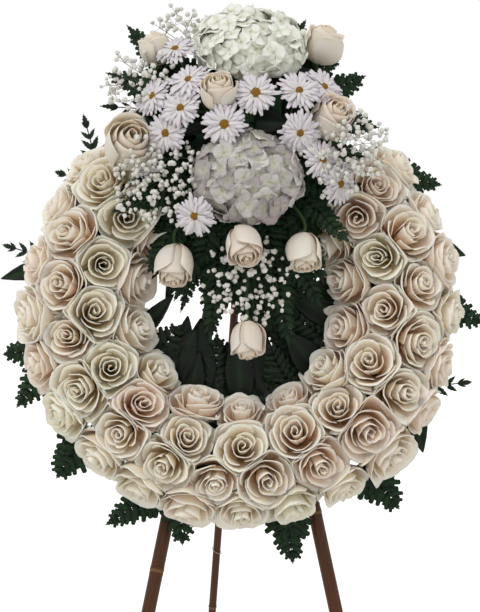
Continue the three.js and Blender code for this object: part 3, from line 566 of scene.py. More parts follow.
def add_petal(bm, place, across, along, shape, tags, planes=()):
    """One petal: a grid that a formula bends, tagged for its colour, and pressed back at planes."""
    made = bmesh.ops.create_grid(bm, x_segments=across, y_segments=along, size=0.5)
    for vert in made["verts"]:
        s, t = 2 * vert.co.x, vert.co.y + 0.5
        spot, heart = shape(s, t)
        vert.co = place @ Vector(spot)
        for normal, offset in planes:
            past = vert.co.dot(normal) - offset + PRESS
            if past > 0:
                vert.co -= normal * (past - PRESS * (1 - math.exp(-past / PRESS)))
        for layer, value in tags.items():
            vert[layer] = heart if value is None else value


def rose_petal(radius, out, openness, seed):
    """One petal of an open rose, from its heart (out = 0) to its rim (out = 1)."""
    rim_reach = radius * (0.06 + 1.04 * out**0.95) * (1 + 0.16 * (wobble(seed + 5) - 0.5))
    rim_height = radius * (0.44 - 0.04 * out - (0.24 + 0.2 * openness) * out**2.6)
    rim_height += radius * 0.17 * (wobble(seed) - 0.5)
    foot_reach, foot_height = radius * (0.05 + 0.12 * out), -0.8 * radius
    belly_reach = rim_reach * (1.24 - 0.40 * out - 0.1 * openness)
    belly_height = radius * (-0.3 + 0.02 * out)
    half_width = 1.45 - 0.55 * min(1, 1.5 * out) + 0.4 * (wobble(seed + 3) - 0.5)
    point = 0.10 * wobble(seed + 4)
    lean = 0.12 * (wobble(seed + 1) - 0.5)
    phase = ANY_TURN * wobble(seed + 2)

    def shape(s, t):
        a, b, c = (1 - t) ** 2, 2 * t * (1 - t), t * t
        rho = a * foot_reach + b * belly_reach + c * rim_reach
        height = a * foot_height + b * belly_height + c * rim_height
        corner = abs(s) ** 2.2 * t * t
        roll = max(0, (t - 0.66) / 0.34)
        rho *= 1 + (0.13 - 0.07 * out) * s - 0.13 * out * corner
        rho += radius * (0.02 + 0.15 * out) * roll**2 * (1 - 0.4 * s * s)
        rho += radius * point * out * (1 - abs(s)) * t * t
        rho += radius * (0.014 + 0.045 * out) * math.sin(3.4 * s + phase) * t * t
        rho += radius * (0.008 + 0.022 * out) * math.sin(7.3 * s + 2 * phase) * t**4
        height += radius * (0.012 + 0.03 * out) * math.sin(5.6 * s + 3 * phase) * t**3
        height += lean * radius * s * t - radius * (0.05 + 0.24 * out) * corner
        height -= radius * (0.005 + 0.17 * out) * roll**2.4
        angle = half_width * s * (0.75 + 0.25 * math.sin(0.5 * math.pi * min(1, 1.2 * t)))
        # Painted warm glow towards each petal's foot, deep in the folds, on top of the rose's own
        # peach heart.
        peach_and_glow = 1.25 * (1 - t) ** 1.15 + 0.12 * (1 - out) ** 2
        return (rho * math.cos(angle), rho * math.sin(angle), height), min(1, peach_and_glow)

    return shape


def upright(at, way, spin):
    """The place of a bloom whose axis is z in its own mesh."""
    turn = Vector((0, 0, 1)).rotation_difference(Vector(way).normalized())
    return Matrix.Translation(Vector(at)) @ turn.to_matrix().to_4x4() @ Matrix.Rotation(spin, 4, "Z")


def rose_spread(openness):
    """How far out each petal of a rose stands: a tight heart, a cup and a wide skirt."""
    heart = [0.30 * (k / HEART_PETALS) for k in range(HEART_PETALS)]
    cup = [0.34 + 0.04 * openness + 0.31 * k / CUP_PETALS for k in range(CUP_PETALS)]
    return heart + cup + [0.72 + 0.28 * k / (OUTER_PETALS - 1) for k in range(OUTER_PETALS)]


def add_open_rose(bm, layers, at, way, radius, seed, planes):
    heart, tint = layers
    tipped = Vector(way) + ROSE_TIPPED * Vector([wobble(seed + 0.1 * j) - 0.5 for j in range(3)])
    place = upright(at, tipped, ANY_TURN * wobble(seed + 0.9))
    place = place @ Matrix.Diagonal((1 - ROSE_SQUASHED * wobble(seed + 0.7), 1, 1, 1))
    shade, openness = wobble(seed + 0.45), wobble(seed + 0.35)
    for k, out in enumerate(rose_spread(openness)):
        turn = place @ Matrix.Rotation(GOLDEN_TURN * k + 0.4 * wobble(seed + k), 4, "Z")
        shape = rose_petal(ROSE_FULL * radius, out, openness, seed + 3.1 * k)
        add_petal(bm, turn, 8, 8, shape, {heart: None, tint: shade}, planes)


ROSE_DRAW = 1
ROSE_SIZES = (35, 43)
ROSE_SEAT = 0.4
ROSE_ROWS = [(-56, 11), (-14, 13), (27, 16), (66, 19)]  # each row's turn outwards and its roses
ROSES_FROM, ROSES_TO = 42, 318  # degrees from the ring's top, clockwise
ROSE_BUNCHES = 8
bunches = [[] for _ in range(ROSE_BUNCHES)]
for row, (row_turn, count) in enumerate(ROSE_ROWS):
    for i in range(count):
        seed = ROSE_DRAW + 100 * row + i
        share = (i + 0.5 + 0.16 * (wobble(seed) - 0.5)) / count
        round_turn = math.radians(ROSES_FROM + (ROSES_TO - ROSES_FROM) * share)
        tip = math.radians(row_turn + 8 * (wobble(seed + 0.3) - 0.5))
        radius = ROSE_SIZES[0] + (ROSE_SIZES[1] - ROSE_SIZES[0]) * wobble(seed + 0.6)
        out_way = Vector((math.sin(round_turn), math.cos(round_turn), 0))
        way = out_way * math.sin(tip) + Vector((0, 0, math.cos(tip)))
        reach = 1 / math.hypot(math.sin(tip) / FOAM_WIDE, math.cos(tip) / FOAM_DEEP)
        reach += ROSE_DEPTH * radius - ROSE_SEAT
        at = out_way * RING_RADIUS + Vector((0, 0, FOAM_CORE)) + way * reach
        bunches[int(share * ROSE_BUNCHES)].append((at, way, radius, seed))


def press_planes(rose, others):
    """The planes, halfway to each neighbour, that a rose's petals don't pass."""
    at, _, radius, _ = rose
    planes = []
    for other_at, _, other_radius, _ in others:
        away = other_at - at
        if 1 < away.length < 1.15 * (radius + other_radius):
            middle = at + away * radius / (radius + other_radius)
            planes.append((away.normalized(), away.normalized().dot(middle) + PRESS_PAST))
    return planes


roses = [rose for bunch in bunches for rose in bunch]
for number, bunch in enumerate(bunches, 1):
    rose_bm = bmesh.new()
    layers = (rose_bm.verts.layers.float.new("heart"), rose_bm.verts.layers.float.new("tint"))
    for rose in bunch:
        add_open_rose(rose_bm, layers, *rose, press_planes(rose, roses))
    finish_piece(
        rose_bm, f"rose_bunch_{number:02d}", rose_skin, [f"ring_roses_{number:02d}"],
        thickness=0.7,
    )


# Spray rosebuds.
# Half-open cream buds on long stems pushed into the foam block, each wrapped in a few broad petals
# over a tight cone, with a green cup and five sepals under it. Some hang below the spray.
# The warm colour is partly the bud's own peach and partly painted glow in its folds.
bud_skin = petal_material("rosebud_petal", "#eae0d3", "#e0bf9c", "#e8dacf", "#e7decd", "#deccaa")
BUD_PETALS = 12


def bud_petal(radius, out, half_width, seed):
    """One petal of a half-open bud, from its tight cone (out = 0) to its outside (out = 1)."""
    rim_reach = radius * (0.08 + 0.86 * out**0.9)
    rim_height = radius * (1.2 - 0.1 * out - 0.16 * out**2) + radius * 0.08 * (wobble(seed) - 0.5)
    belly_reach = radius * (0.3 + 1.0 * out**0.7)
    phase = ANY_TURN * wobble(seed + 2)

    def shape(s, t):
        a, b, c, d = (1 - t) ** 3, 3 * t * (1 - t) ** 2, 3 * t * t * (1 - t), t**3
        rho = a * 0.12 * radius + b * belly_reach + c * 1.02 * belly_reach + d * rim_reach
        height = radius * (-1.12 * a - 0.95 * b + 0.25 * c) + rim_height * d
        roll = max(0, (t - 0.74) / 0.26)
        corner = abs(s) ** 2.4 * t * t
        rho *= 1 + 0.08 * s
        rho += radius * (0.03 + 0.24 * out**2) * roll**2 * (1 - 0.4 * s * s)
        rho += radius * 0.02 * math.sin(3 * s + phase) * t
        height -= radius * (0.12 + 0.34 * out) * corner
        height -= radius * 0.16 * out * roll**3
        angle = half_width * s
        # Inner petals and each petal's foot are painted warm: partly the bud's own peach, partly
        # painted glow.
        peach_and_glow = 0.45 * (1 - out) + 0.45 * (1 - t) ** 1.5
        return (rho * math.cos(angle), rho * math.sin(angle), height), min(1, peach_and_glow)

    return shape


# Grown stems and cups: a smooth mid green with a slight waxy shine, in lighter and darker patches.
STEM_MOTTLE = 6.2
stem_green, stem_surface = new_material("rose_stem_and_calyx")
stem_place = add_node(stem_green, "ShaderNodeTexCoord")
stem_noise = add_node(
    stem_green, "ShaderNodeTexNoise",
    {"Vector": stem_place.outputs["Object"], "Scale": repeats(STEM_MOTTLE), "Detail": 4},
)
link(
    stem_green,
    blend_colours(stem_green, stem_noise.outputs["Fac"], "#1a2d15", "#3c5a29"),
    stem_surface.inputs["Base Color"],
)
stem_surface.inputs["Roughness"].default_value = 0.5

BUD_STEM, SEPALS = 2.2, 5
HANGING_SLIM = 0.88
# Each bud's node, place, way and radius.
BUDS = [
    ("rose_top_left", (-117, 346, 90), (-0.15, 0.95, 0.25), 20),
    ("rose_top_right", (112, 352, 90), (0.35, 0.85, 0.4), 24),
    ("rose_centre_left", (-32, 266, 178), (-0.05, 0.62, 0.78), 22),
    ("rose_right", (118, 238, 142), (0.4, 0.42, 0.82), 26),
    ("rose_left", (-152, 205, 128), (0.25, 0.3, 0.92), 31),
    ("rose_hanging_left", (-90, 44, 124), (-0.08, -0.92, 0.38), 26),
    ("rose_hanging_middle", (2, 66, 158), (0.12, -0.8, 0.58), 25),
    ("rose_hanging_right", (82, 60, 134), (0.06, -0.93, 0.36), 24),
    ("rose_hanging_low", (6, -56, 122), (0, -0.98, 0.2), 23),
]


def stem_root(foot):
    """The point inside the foam block that a stem runs to."""
    half = (BLOCK_SIZE.x / 2 - 12, BLOCK_SIZE.y / 2 - 12, BLOCK_SIZE.z / 2 - 8)
    local = foot - BLOCK_MIDDLE
    return BLOCK_MIDDLE + Vector([max(-h, min(h, c)) for h, c in zip(half, local)])


def curve_points(points, steps):
    """Points along a smooth bend through three given points."""
    a, b, c = points
    control = 2 * b - (a + c) / 2
    return [
        a * (1 - t) ** 2 + control * 2 * t * (1 - t) + c * t * t
        for t in (i / steps for i in range(steps + 1))
    ]


calyx_bm = bmesh.new()
for number, (node, at, way, radius) in enumerate(BUDS):
    at, way = Vector(at), Vector(way).normalized()
    bud_bm = bmesh.new()
    heart = bud_bm.verts.layers.float.new("heart")
    tint = bud_bm.verts.layers.float.new("tint")
    slim = HANGING_SLIM if "hanging" in node else 1
    place = upright(at, way, 700 + number) @ Matrix.Diagonal((slim, slim, 1, 1))
    for k in range(BUD_PETALS):
        out = k / (BUD_PETALS - 1)
        turn = place @ Matrix.Rotation(GOLDEN_TURN * k, 4, "Z")
        shape = bud_petal(radius, out, 1.7 - 0.75 * out, 31 * number + 3.7 * k)
        tags = {heart: None, tint: 0.2 + 0.8 * wobble(number + 0.2)}
        add_petal(bud_bm, turn, 7, 8, shape, tags)
    finish_piece(bud_bm, f"bud_{node[5:]}", bud_skin, [node], thickness=0.6)

    foot = at - way * 1.15 * radius
    bend = foot - way * 0.35 * (foot - stem_root(foot)).length
    sweep(calyx_bm, curve_points([stem_root(foot), bend, foot], 8), BUD_STEM, 7)
    bmesh.ops.create_uvsphere(
        calyx_bm, u_segments=12, v_segments=6, radius=1,
        matrix=upright(foot + way * 1.5, way, 0) @ Matrix.Diagonal((5.2, 5.2, 6.5, 1)),
    )
    for k in range(SEPALS):
        turn = upright(foot + way * 3, way, 2 * math.pi * k / SEPALS + number)
        sepal = bmesh.ops.create_grid(calyx_bm, x_segments=2, y_segments=5, size=0.5)
        for vert in sepal["verts"]:
            s, t = 2 * vert.co.x, vert.co.y + 0.5
            wide = 4.2 * math.sin(math.pi * (0.25 + 0.72 * t)) ** 0.8
            vert.co = turn @ Vector((4 + 12 * t - 3 * t * t, s * wide, -1 + 9 * t * (1 - 0.9 * t)))
finish_piece(calyx_bm, "bud_stems", stem_green, thickness=0.7)


# Hydrangeas.
# Two white mophead blooms on thick stems pushed into the foam. A head is a dome of small florets,
# each with four rounded petals that overlap their neighbours and shade the gaps between them.
HYDRANGEA_VEIN = 4.5

# Grown hydrangea petals: thin and chalky, with faint veins and no shine. The lower head is painted
# dimmer and greyer, as painted shade.
hydrangea_white, hydrangea_surface = new_material("hydrangea_petal")
hydrangea_deep = add_node(hydrangea_white, "ShaderNodeAttribute", attribute_name="heart")
hydrangea_place = add_node(hydrangea_white, "ShaderNodeTexCoord")
hydrangea_veins = add_node(
    hydrangea_white, "ShaderNodeTexNoise",
    {"Vector": hydrangea_place.outputs["Object"], "Scale": repeats(HYDRANGEA_VEIN), "Detail": 5},
)
hydrangea_shade_amount = add_node(hydrangea_white, "ShaderNodeAttribute", attribute_name="tint")
hydrangea_vein = hydrangea_veins.outputs["Fac"]
hydrangea_lit = blend_colours(hydrangea_white, hydrangea_vein, "#eceddf", "#f8f8f2")
# Painted shade: a dimmer, greyer copy of the petal colour, used on the lower head.
hydrangea_painted_shade = blend_colours(hydrangea_white, hydrangea_vein, "#9c9295", "#bdb3b3")
hydrangea_veins_and_shade = blend_colours(
    hydrangea_white, hydrangea_shade_amount.outputs["Fac"], hydrangea_lit, hydrangea_painted_shade
)
link(
    hydrangea_white,
    blend_colours(hydrangea_white, hydrangea_deep.outputs["Fac"], hydrangea_veins_and_shade, "#c6c8a6"),
    hydrangea_surface.inputs["Base Color"],
)
hydrangea_bump = add_node(
    hydrangea_white, "ShaderNodeBump",
    {"Strength": 0.3, "Distance": 0.0006, "Height": hydrangea_vein},
)
link(hydrangea_white, hydrangea_bump.outputs["Normal"], hydrangea_surface.inputs["Normal"])
hydrangea_surface.inputs["Roughness"].default_value = 0.7
hydrangea_surface.inputs["Subsurface Weight"].default_value = 0.1
hydrangea_surface.inputs["Subsurface Radius"].default_value = (0.003, 0.003, 0.003)
hydrangea_surface.inputs["Subsurface Scale"].default_value = 1

FLORETS = 92
CORE_INSET = 14
HYDRANGEA_STEM = 4
# Each head's node, place, way, radius, height, flatness and random seed.
HEADS = [
    ("hydrangea_upper", (11, 344, 112), (0.04, 0.8, 0.6), 76, 50, 1, 1),
    ("hydrangea_lower", (7, 158, 148), (0, -0.1, 0.99), 74, 46, 0.82, 4),
]


def floret_petal(size, seed):
    """One of a floret's four broad petals, with a ruffled edge."""
    cup = 0.12 + 0.3 * wobble(seed)
    twist = 0.6 * (wobble(seed + 1) - 0.5)
    phase = ANY_TURN * wobble(seed + 2)

    def shape(s, t):
        wide = size * 0.60 * math.sin(math.pi * (0.08 + 0.78 * t)) ** 0.75
        lift = cup * size * (t - 0.95 * t * t) + 0.14 * size * s * s * t + twist * size * 0.4 * s * t
        lift += 0.05 * size * math.sin(5 * s + phase) * t * t
        return (size * t * (1 - 0.12 * s * s), wide * s, lift), 0.9 * (1 - t) ** 3

    return shape


for number, (name, at, way, wide, deep, flat, seed) in enumerate(HEADS):
    head_bm = bmesh.new()
    heart = head_bm.verts.layers.float.new("heart")
    tint = head_bm.verts.layers.float.new("tint")
    turn = Vector((0, 0, 1)).rotation_difference(Vector(way).normalized()).to_matrix().to_4x4()
    head_place = Matrix.Translation(Vector(at)) @ turn
    core_wide, core_deep = wide - CORE_INSET, deep - CORE_INSET + 1
    core = bmesh.ops.create_uvsphere(
        head_bm, u_segments=24, v_segments=14, radius=1,
        matrix=head_place @ Matrix.Diagonal((core_wide, core_wide * flat, core_deep, 1)),
    )
    for vert in core["verts"]:
        vert[heart] = 1
        # The lower head's core is painted fully in shade; the upper head's has none.
        vert[tint] = number
        spot = head_place.inverted() @ vert.co
        narrow = 1 + 0.9 * min(0, spot.z) / core_deep
        vert.co = head_place @ Vector((spot.x * narrow, spot.y * narrow, spot.z))
    for i in range(FLORETS):
        rise = 1 - 1.42 * (i + 0.5) / FLORETS
        round_turn = i * GOLDEN_TURN + seed
        level = math.sqrt(1 - rise * rise)
        out = Vector((level * math.cos(round_turn), level * math.sin(round_turn), rise))
        inset = 2 + 7 * wobble(seed + 5 * i)
        reach = wide - inset
        spot = Vector((out.x * reach, out.y * reach * flat, out.z * (deep - inset)))
        normal = Vector((out.x / wide, out.y / (wide * flat), out.z / deep)).normalized()
        normal += Vector([0.9 * (wobble(seed + 7 * i + j) - 0.5) for j in range(3)])
        floret_place = head_place @ upright(spot, normal, 6 * wobble(seed + 2 * i))
        size = 14 + 4 * wobble(seed + 11 * i)
        # Painted shade on the lower head's florets, stronger on some than others; none on the upper
        # head.
        shade = min(1, number * (0.35 + 0.9 * wobble(seed + 17 * i)))
        for k in range(4):
            turn = Matrix.Rotation(math.pi / 2 * k + 0.2 * wobble(seed + i + k), 4, "Z")
            shape = floret_petal(size, seed + 13 * i + k)
            add_petal(head_bm, floret_place @ turn, 4, 4, shape, {heart: None, tint: shade})
    finish_piece(head_bm, f"{name}_head", hydrangea_white, [name], thickness=0.6)
    stalk_bm = bmesh.new()
    neck = Vector(at) - Vector(way).normalized() * deep * 0.5
    stalk = curve_points([BLOCK_MIDDLE, BLOCK_MIDDLE.lerp(neck, 0.6), neck], 6)
    sweep(stalk_bm, stalk, HYDRANGEA_STEM, 8)
    finish_piece(stalk_bm, f"{name}_stem", stem_green)


# Daisies.
# White spray daisies: three layers of narrow blunt rays round a brown and yellow disc of tiny
# florets, on thin stems that fork from one stalk pushed into the foam.
RAY_RIB = 3.3
DISC_FLORET = 1.1

# Grown daisy rays: cool white and matt, creamy at the foot, with ribs along them.
daisy_white, daisy_surface = new_material("daisy_ray")
daisy_heart = add_node(daisy_white, "ShaderNodeAttribute", attribute_name="heart")
daisy_place = add_node(daisy_white, "ShaderNodeTexCoord")
daisy_ribs = add_node(
    daisy_white, "ShaderNodeTexNoise",
    {"Vector": daisy_place.outputs["Object"], "Scale": repeats(RAY_RIB), "Detail": 3},
)
daisy_mottle = blend_colours(daisy_white, daisy_ribs.outputs["Fac"], "#d3ccd2", "#ece7eb")
link(
    daisy_white,
    blend_colours(daisy_white, daisy_heart.outputs["Fac"], daisy_mottle, "#d3cdae"),
    daisy_surface.inputs["Base Color"],
)
daisy_bump = add_node(
    daisy_white, "ShaderNodeBump",
    {"Strength": 0.2, "Distance": 0.0005, "Height": daisy_ribs.outputs["Fac"]},
)
link(daisy_white, daisy_bump.outputs["Normal"], daisy_surface.inputs["Normal"])
daisy_surface.inputs["Roughness"].default_value = 0.6

# Grown disc florets: a rough brown and yellow pile with no shine, a floret each millimetre or so.
daisy_eye, eye_surface = new_material("daisy_disc_florets")
eye_place = add_node(daisy_eye, "ShaderNodeTexCoord")
eye_grain = add_node(
    daisy_eye, "ShaderNodeTexVoronoi",
    {"Vector": eye_place.outputs["Object"], "Scale": repeats(DISC_FLORET)},
)
link(
    daisy_eye,
    blend_colours(daisy_eye, eye_grain.outputs["Distance"], "#43290d", "#a87818"),
    eye_surface.inputs["Base Color"],
)
eye_bump = add_node(
    daisy_eye, "ShaderNodeBump",
    {"Strength": 0.8, "Distance": 0.0008, "Height": eye_grain.outputs["Distance"]},
)
link(daisy_eye, eye_bump.outputs["Normal"], eye_surface.inputs["Normal"])
eye_surface.inputs["Roughness"].default_value = 0.9

RAY_LAYERS = [(23, 31, 0.6), (21, 28, 3.0), (15, 22, 4.4)]  # rays, their length and their lift
EYE_RADIUS, OPEN_EYE_RADIUS = 5.8, 7.6
DAISY_STALK, DAISY_STEM = 2.2, 1.3
# Each spray's node, and the place and way of each of its heads.
DAISIES = [
    ("daisies_upper_left", [
        (-89, 336, 118, -0.3, 0.62, 0.72), (-70, 284, 160, -0.35, 0.45, 0.82),
        (-117, 268, 138, -0.6, 0.3, 0.74), (-80, 246, 166, -0.4, 0.1, 0.9),
    ]),
    ("daisies_lower_left", [
        (-100, 216, 152, -0.45, -0.12, 0.88), (-128, 186, 128, -0.6, -0.2, 0.77),
        (-62, 104, 168, -0.3, -0.42, 0.86),
    ]),
    ("daisies_centre", [(17, 262, 184, 0.05, 0.14, 0.99), (-24, 222, 182, -0.1, -0.12, 0.98)]),
    ("daisies_right", [
        (74, 268, 168, 0.2, 0.3, 0.93), (108, 280, 138, 0.5, 0.4, 0.77),
        (74, 214, 166, 0.3, -0.3, 0.9), (104, 180, 150, 0.5, 0.02, 0.86),
        (128, 152, 134, 0.6, -0.3, 0.74),
    ]),
]


def daisy_ray(length, lift, seed):
    """A narrow ray with a blunt end, creased along its middle."""
    droop = 0.22 * (wobble(seed) - 0.35)
    sway = 0.10 * (wobble(seed + 1) - 0.5)

    def shape(s, t):
        wide = 0.075 * length * (0.45 + 1.0 * math.sin(math.pi * min(0.94, 0.10 + 0.82 * t)))
        rise = lift + 0.2 * length * t - (0.16 + droop) * length * t * t + 0.022 * length * s * s
        across = wide * s + sway * length * t * t
        return ((0.12 + 0.88 * t) * length, across, rise), 0.7 * (1 - t) ** 3

    return shape


for spray, (node, heads) in enumerate(DAISIES):
    daisy_bm = bmesh.new()
    heart = daisy_bm.verts.layers.float.new("heart")
    middle = sum((Vector(h[:3]) for h in heads), Vector()) / len(heads)
    fork = middle.lerp(BLOCK_MIDDLE, 0.45)
    stalk_bm = bmesh.new()
    stalk = [BLOCK_MIDDLE.lerp(fork, 0.3), BLOCK_MIDDLE.lerp(fork, 0.7), fork.lerp(middle, 0.05)]
    sweep(stalk_bm, stalk, DAISY_STALK, 7)
    for i, head in enumerate(heads):
        seed = 40 * spray + 7 * i + 3
        at, way = Vector(head[:3]), Vector(head[3:]).normalized()
        place = upright(at, way, seed)
        eye = OPEN_EYE_RADIUS if node == "daisies_centre" else EYE_RADIUS
        for layer, (rays, length, lift) in enumerate(RAY_LAYERS):
            for k in range(rays):
                turn = place @ Matrix.Rotation(2 * math.pi * (k + 0.5 * layer) / rays, 4, "Z")
                long = length * (0.78 + 0.28 * wobble(seed + k + 50 * layer))
                turn = turn @ Matrix.Rotation(0.16 * (wobble(seed + 3 * k + layer) - 0.5), 4, "Z")
                turn = turn @ Matrix.Rotation(-0.35 * (wobble(seed + 5 * k) - 0.45), 4, "Y")
                add_petal(daisy_bm, turn, 2, 5, daisy_ray(long, lift, seed + 5 * k), {heart: None})
        disc = bmesh.ops.create_uvsphere(
            daisy_bm, u_segments=16, v_segments=8, radius=1,
            matrix=place @ Matrix.Translation((0, 0, 4)) @ Matrix.Diagonal((eye, eye, 3.6, 1)),
        )
        for face in {face for vert in disc["verts"] for face in vert.link_faces}:
            face.material_index = 1
        foot = at - way * 2
        bend = foot.lerp(fork, 0.5) - way * 8
        sweep(stalk_bm, curve_points([fork, bend, foot], 6), DAISY_STEM, 6)
        bmesh.ops.create_cone(
            stalk_bm, cap_ends=True, segments=12, radius1=1.4, radius2=5.5, depth=4,
            matrix=upright(at - way * 1.6, way, 0),
        )
    skins = [daisy_white, daisy_eye]
    finish_piece(daisy_bm, f"{node}_heads", skins, [node], thickness=0.5)
    finish_piece(stalk_bm, f"{node}_stems", stem_green)


# Gypsophila.
# Clouds of tiny double white florets on hair-thin twigs, which fan out of one stem pushed into the
# foam and fill the gaps among the daisies and buds.
FLORET_FOLD = 1.4

# Grown gypsophila florets: crumpled white petals with no shine, whose folds carry small painted
# shadows in their hollows.
gypsophila_white, gypsophila_surface = new_material("gypsophila_floret")
gypsophila_place = add_node(gypsophila_white, "ShaderNodeTexCoord")
gypsophila_folds_and_shade = add_node(
    gypsophila_white, "ShaderNodeTexNoise",
    {"Vector": gypsophila_place.outputs["Object"], "Scale": repeats(FLORET_FOLD), "Detail": 4},
)
# Painted shade: the colour darkens where the same noise makes the hollows of the folds.
link(
    gypsophila_white,
    blend_colours(gypsophila_white, gypsophila_folds_and_shade.outputs["Fac"], "#cdcabf", "#f6f4ee"),
    gypsophila_surface.inputs["Base Color"],
)
gypsophila_bump = add_node(
    gypsophila_white, "ShaderNodeBump",
    {"Strength": 0.7, "Distance": 0.0008, "Height": gypsophila_folds_and_shade.outputs["Fac"]},
)
link(gypsophila_white, gypsophila_bump.outputs["Normal"], gypsophila_surface.inputs["Normal"])
gypsophila_surface.inputs["Roughness"].default_value = 0.8

# Each bunch's node, foot, the middle and radius of its cloud, and its florets.
BUNCHES = [
    ("gypsophila_left", (-53, 200, 88), (-108, 152, 148), 60, 210),
    ("gypsophila_right", (56, 200, 88), (134, 196, 148), 56, 180),
    ("gypsophila_lower", (0, 138, 96), (10, 24, 122), 56, 156),
    ("gypsophila_upper_left", (-53, 280, 90), (-136, 290, 120), 44, 108),
    ("gypsophila_top", (-30, 292, 84), (-82, 372, 84), 34, 60),
]
SPRIG = 6  # florets that share a twig
BUNCH_STEM, TWIG, FLORET_TWIG = 1.2, 0.5, 0.3
for number, (node, root, cloud, spread, count) in enumerate(BUNCHES):
    foot, middle = Vector(root), Vector(cloud)
    fork = foot.lerp(middle, 0.6)
    floret_bm, twig_bm = bmesh.new(), bmesh.new()
    sweep(twig_bm, [foot.lerp(BLOCK_MIDDLE, 0.2), foot.lerp(fork, 0.5), fork], BUNCH_STEM, 5)
    for j in range(count // SPRIG):
        seed = 900 + 50 * number + j
        wide = spread * math.sqrt((j + 0.5) / (count // SPRIG))
        sprig = middle + Vector((
            wide * math.cos(j * GOLDEN_TURN), wide * math.sin(j * GOLDEN_TURN),
            26 * (wobble(seed) - 0.6) - 14 * (wide / spread) ** 2,
        ))
        bend = fork.lerp(sprig, 0.5) + Vector([9 * (wobble(seed + k) - 0.5) for k in range(3)])
        sweep(twig_bm, curve_points([fork, bend, sprig], 4), TWIG, 3)
        for k in range(SPRIG):
            spot = seed + 0.37 * k
            tip = sprig + Vector((
                24 * (wobble(spot) - 0.5), 24 * (wobble(spot + 0.1) - 0.5), 8 + 12 * wobble(spot + 0.2)
            ))
            sweep(twig_bm, [sprig, tip], FLORET_TWIG, 3)
            size = 2.1 + 1.7 * wobble(spot + 0.5)
            made = bmesh.ops.create_icosphere(
                floret_bm, subdivisions=2, radius=size, matrix=upright(tip, tip - fork, seed)
            )
            for n, vert in enumerate(made["verts"]):
                vert.co += (vert.co - tip) * (0.7 * (wobble(spot + n) - 0.45))
    finish_piece(floret_bm, f"{node}_florets", gypsophila_white, [node])
    finish_piece(twig_bm, f"{node}_twigs", stem_green)


# Fern and leaves.
# Leatherleaf fern: dark glossy fronds whose leaflets are toothed along both edges, with rounder
# leafy sprigs and broad leaves among them, pushed into the foam behind and between the blooms.
LEAF_MOTTLE = 14.3
LEAF_THICKNESS = 0.5


def leaf_material(name, dark, pale, vein, roughness):
    """A grown, wax-coated leaf with a dull shine, paler along its rib, in soft patches of near-black
    green:
    partly the leaf's own dark green, partly painted shade.
    """
    material, surface = new_material(name)
    side = add_node(material, "ShaderNodeAttribute", attribute_name="side")
    place = add_node(material, "ShaderNodeTexCoord")
    mottle = add_node(
        material, "ShaderNodeTexNoise",
        {"Vector": place.outputs["Object"], "Scale": repeats(LEAF_MOTTLE), "Detail": 4},
    )
    spread = add_node(
        material, "ShaderNodeMapRange",
        {"Value": mottle.outputs["Fac"], "From Min": 0.3, "From Max": 0.7},
    )
    skin = blend_colours(material, spread.outputs["Result"], dark, pale)
    ribbed = blend_colours(material, side.outputs["Fac"], skin, vein)
    link(material, ribbed, surface.inputs["Base Color"])
    bump = add_node(
        material, "ShaderNodeBump",
        {"Strength": 0.3, "Distance": 0.0008, "Height": mottle.outputs["Fac"]},
    )
    link(material, bump.outputs["Normal"], surface.inputs["Normal"])
    surface.inputs["Roughness"].default_value = roughness
    surface.inputs["Specular IOR Level"].default_value = 0.25
    return material


# Both greens are darkened to near black: partly the leaves' own dark green, partly painted shade.
fern_green = leaf_material("leatherleaf_fern", "#040b05", "#102813", "#1d401b", 0.55)
broad_green = leaf_material("glossy_leaf", "#030804", "#09190b", "#183218", 0.45)


def add_blade(bm, side_layer, place, length, half, across, along, tooth, bend):
    """One leaf or leaflet along y, folded a little at its rib, with teeth that point forward."""
    made = bmesh.ops.create_grid(bm, x_segments=across, y_segments=along, size=0.5)
    for vert in made["verts"]:
        s, t = 2 * vert.co.x, vert.co.y + 0.5
        row = round(t * along)
        wide = half * math.sin(math.pi * (0.08 + 0.9 * t) ** 0.8)
        wide *= 1 if row % 2 else tooth
        forward = length * t + (1 - tooth) * length / along * abs(s) * (1.5 if row % 2 else -0.6)
        vert[side_layer] = max(0, 1 - 2.6 * abs(s)) * 0.7
        vert.co = place @ Vector((wide * s, forward, 0.25 * wide * abs(s) - bend * t * t))


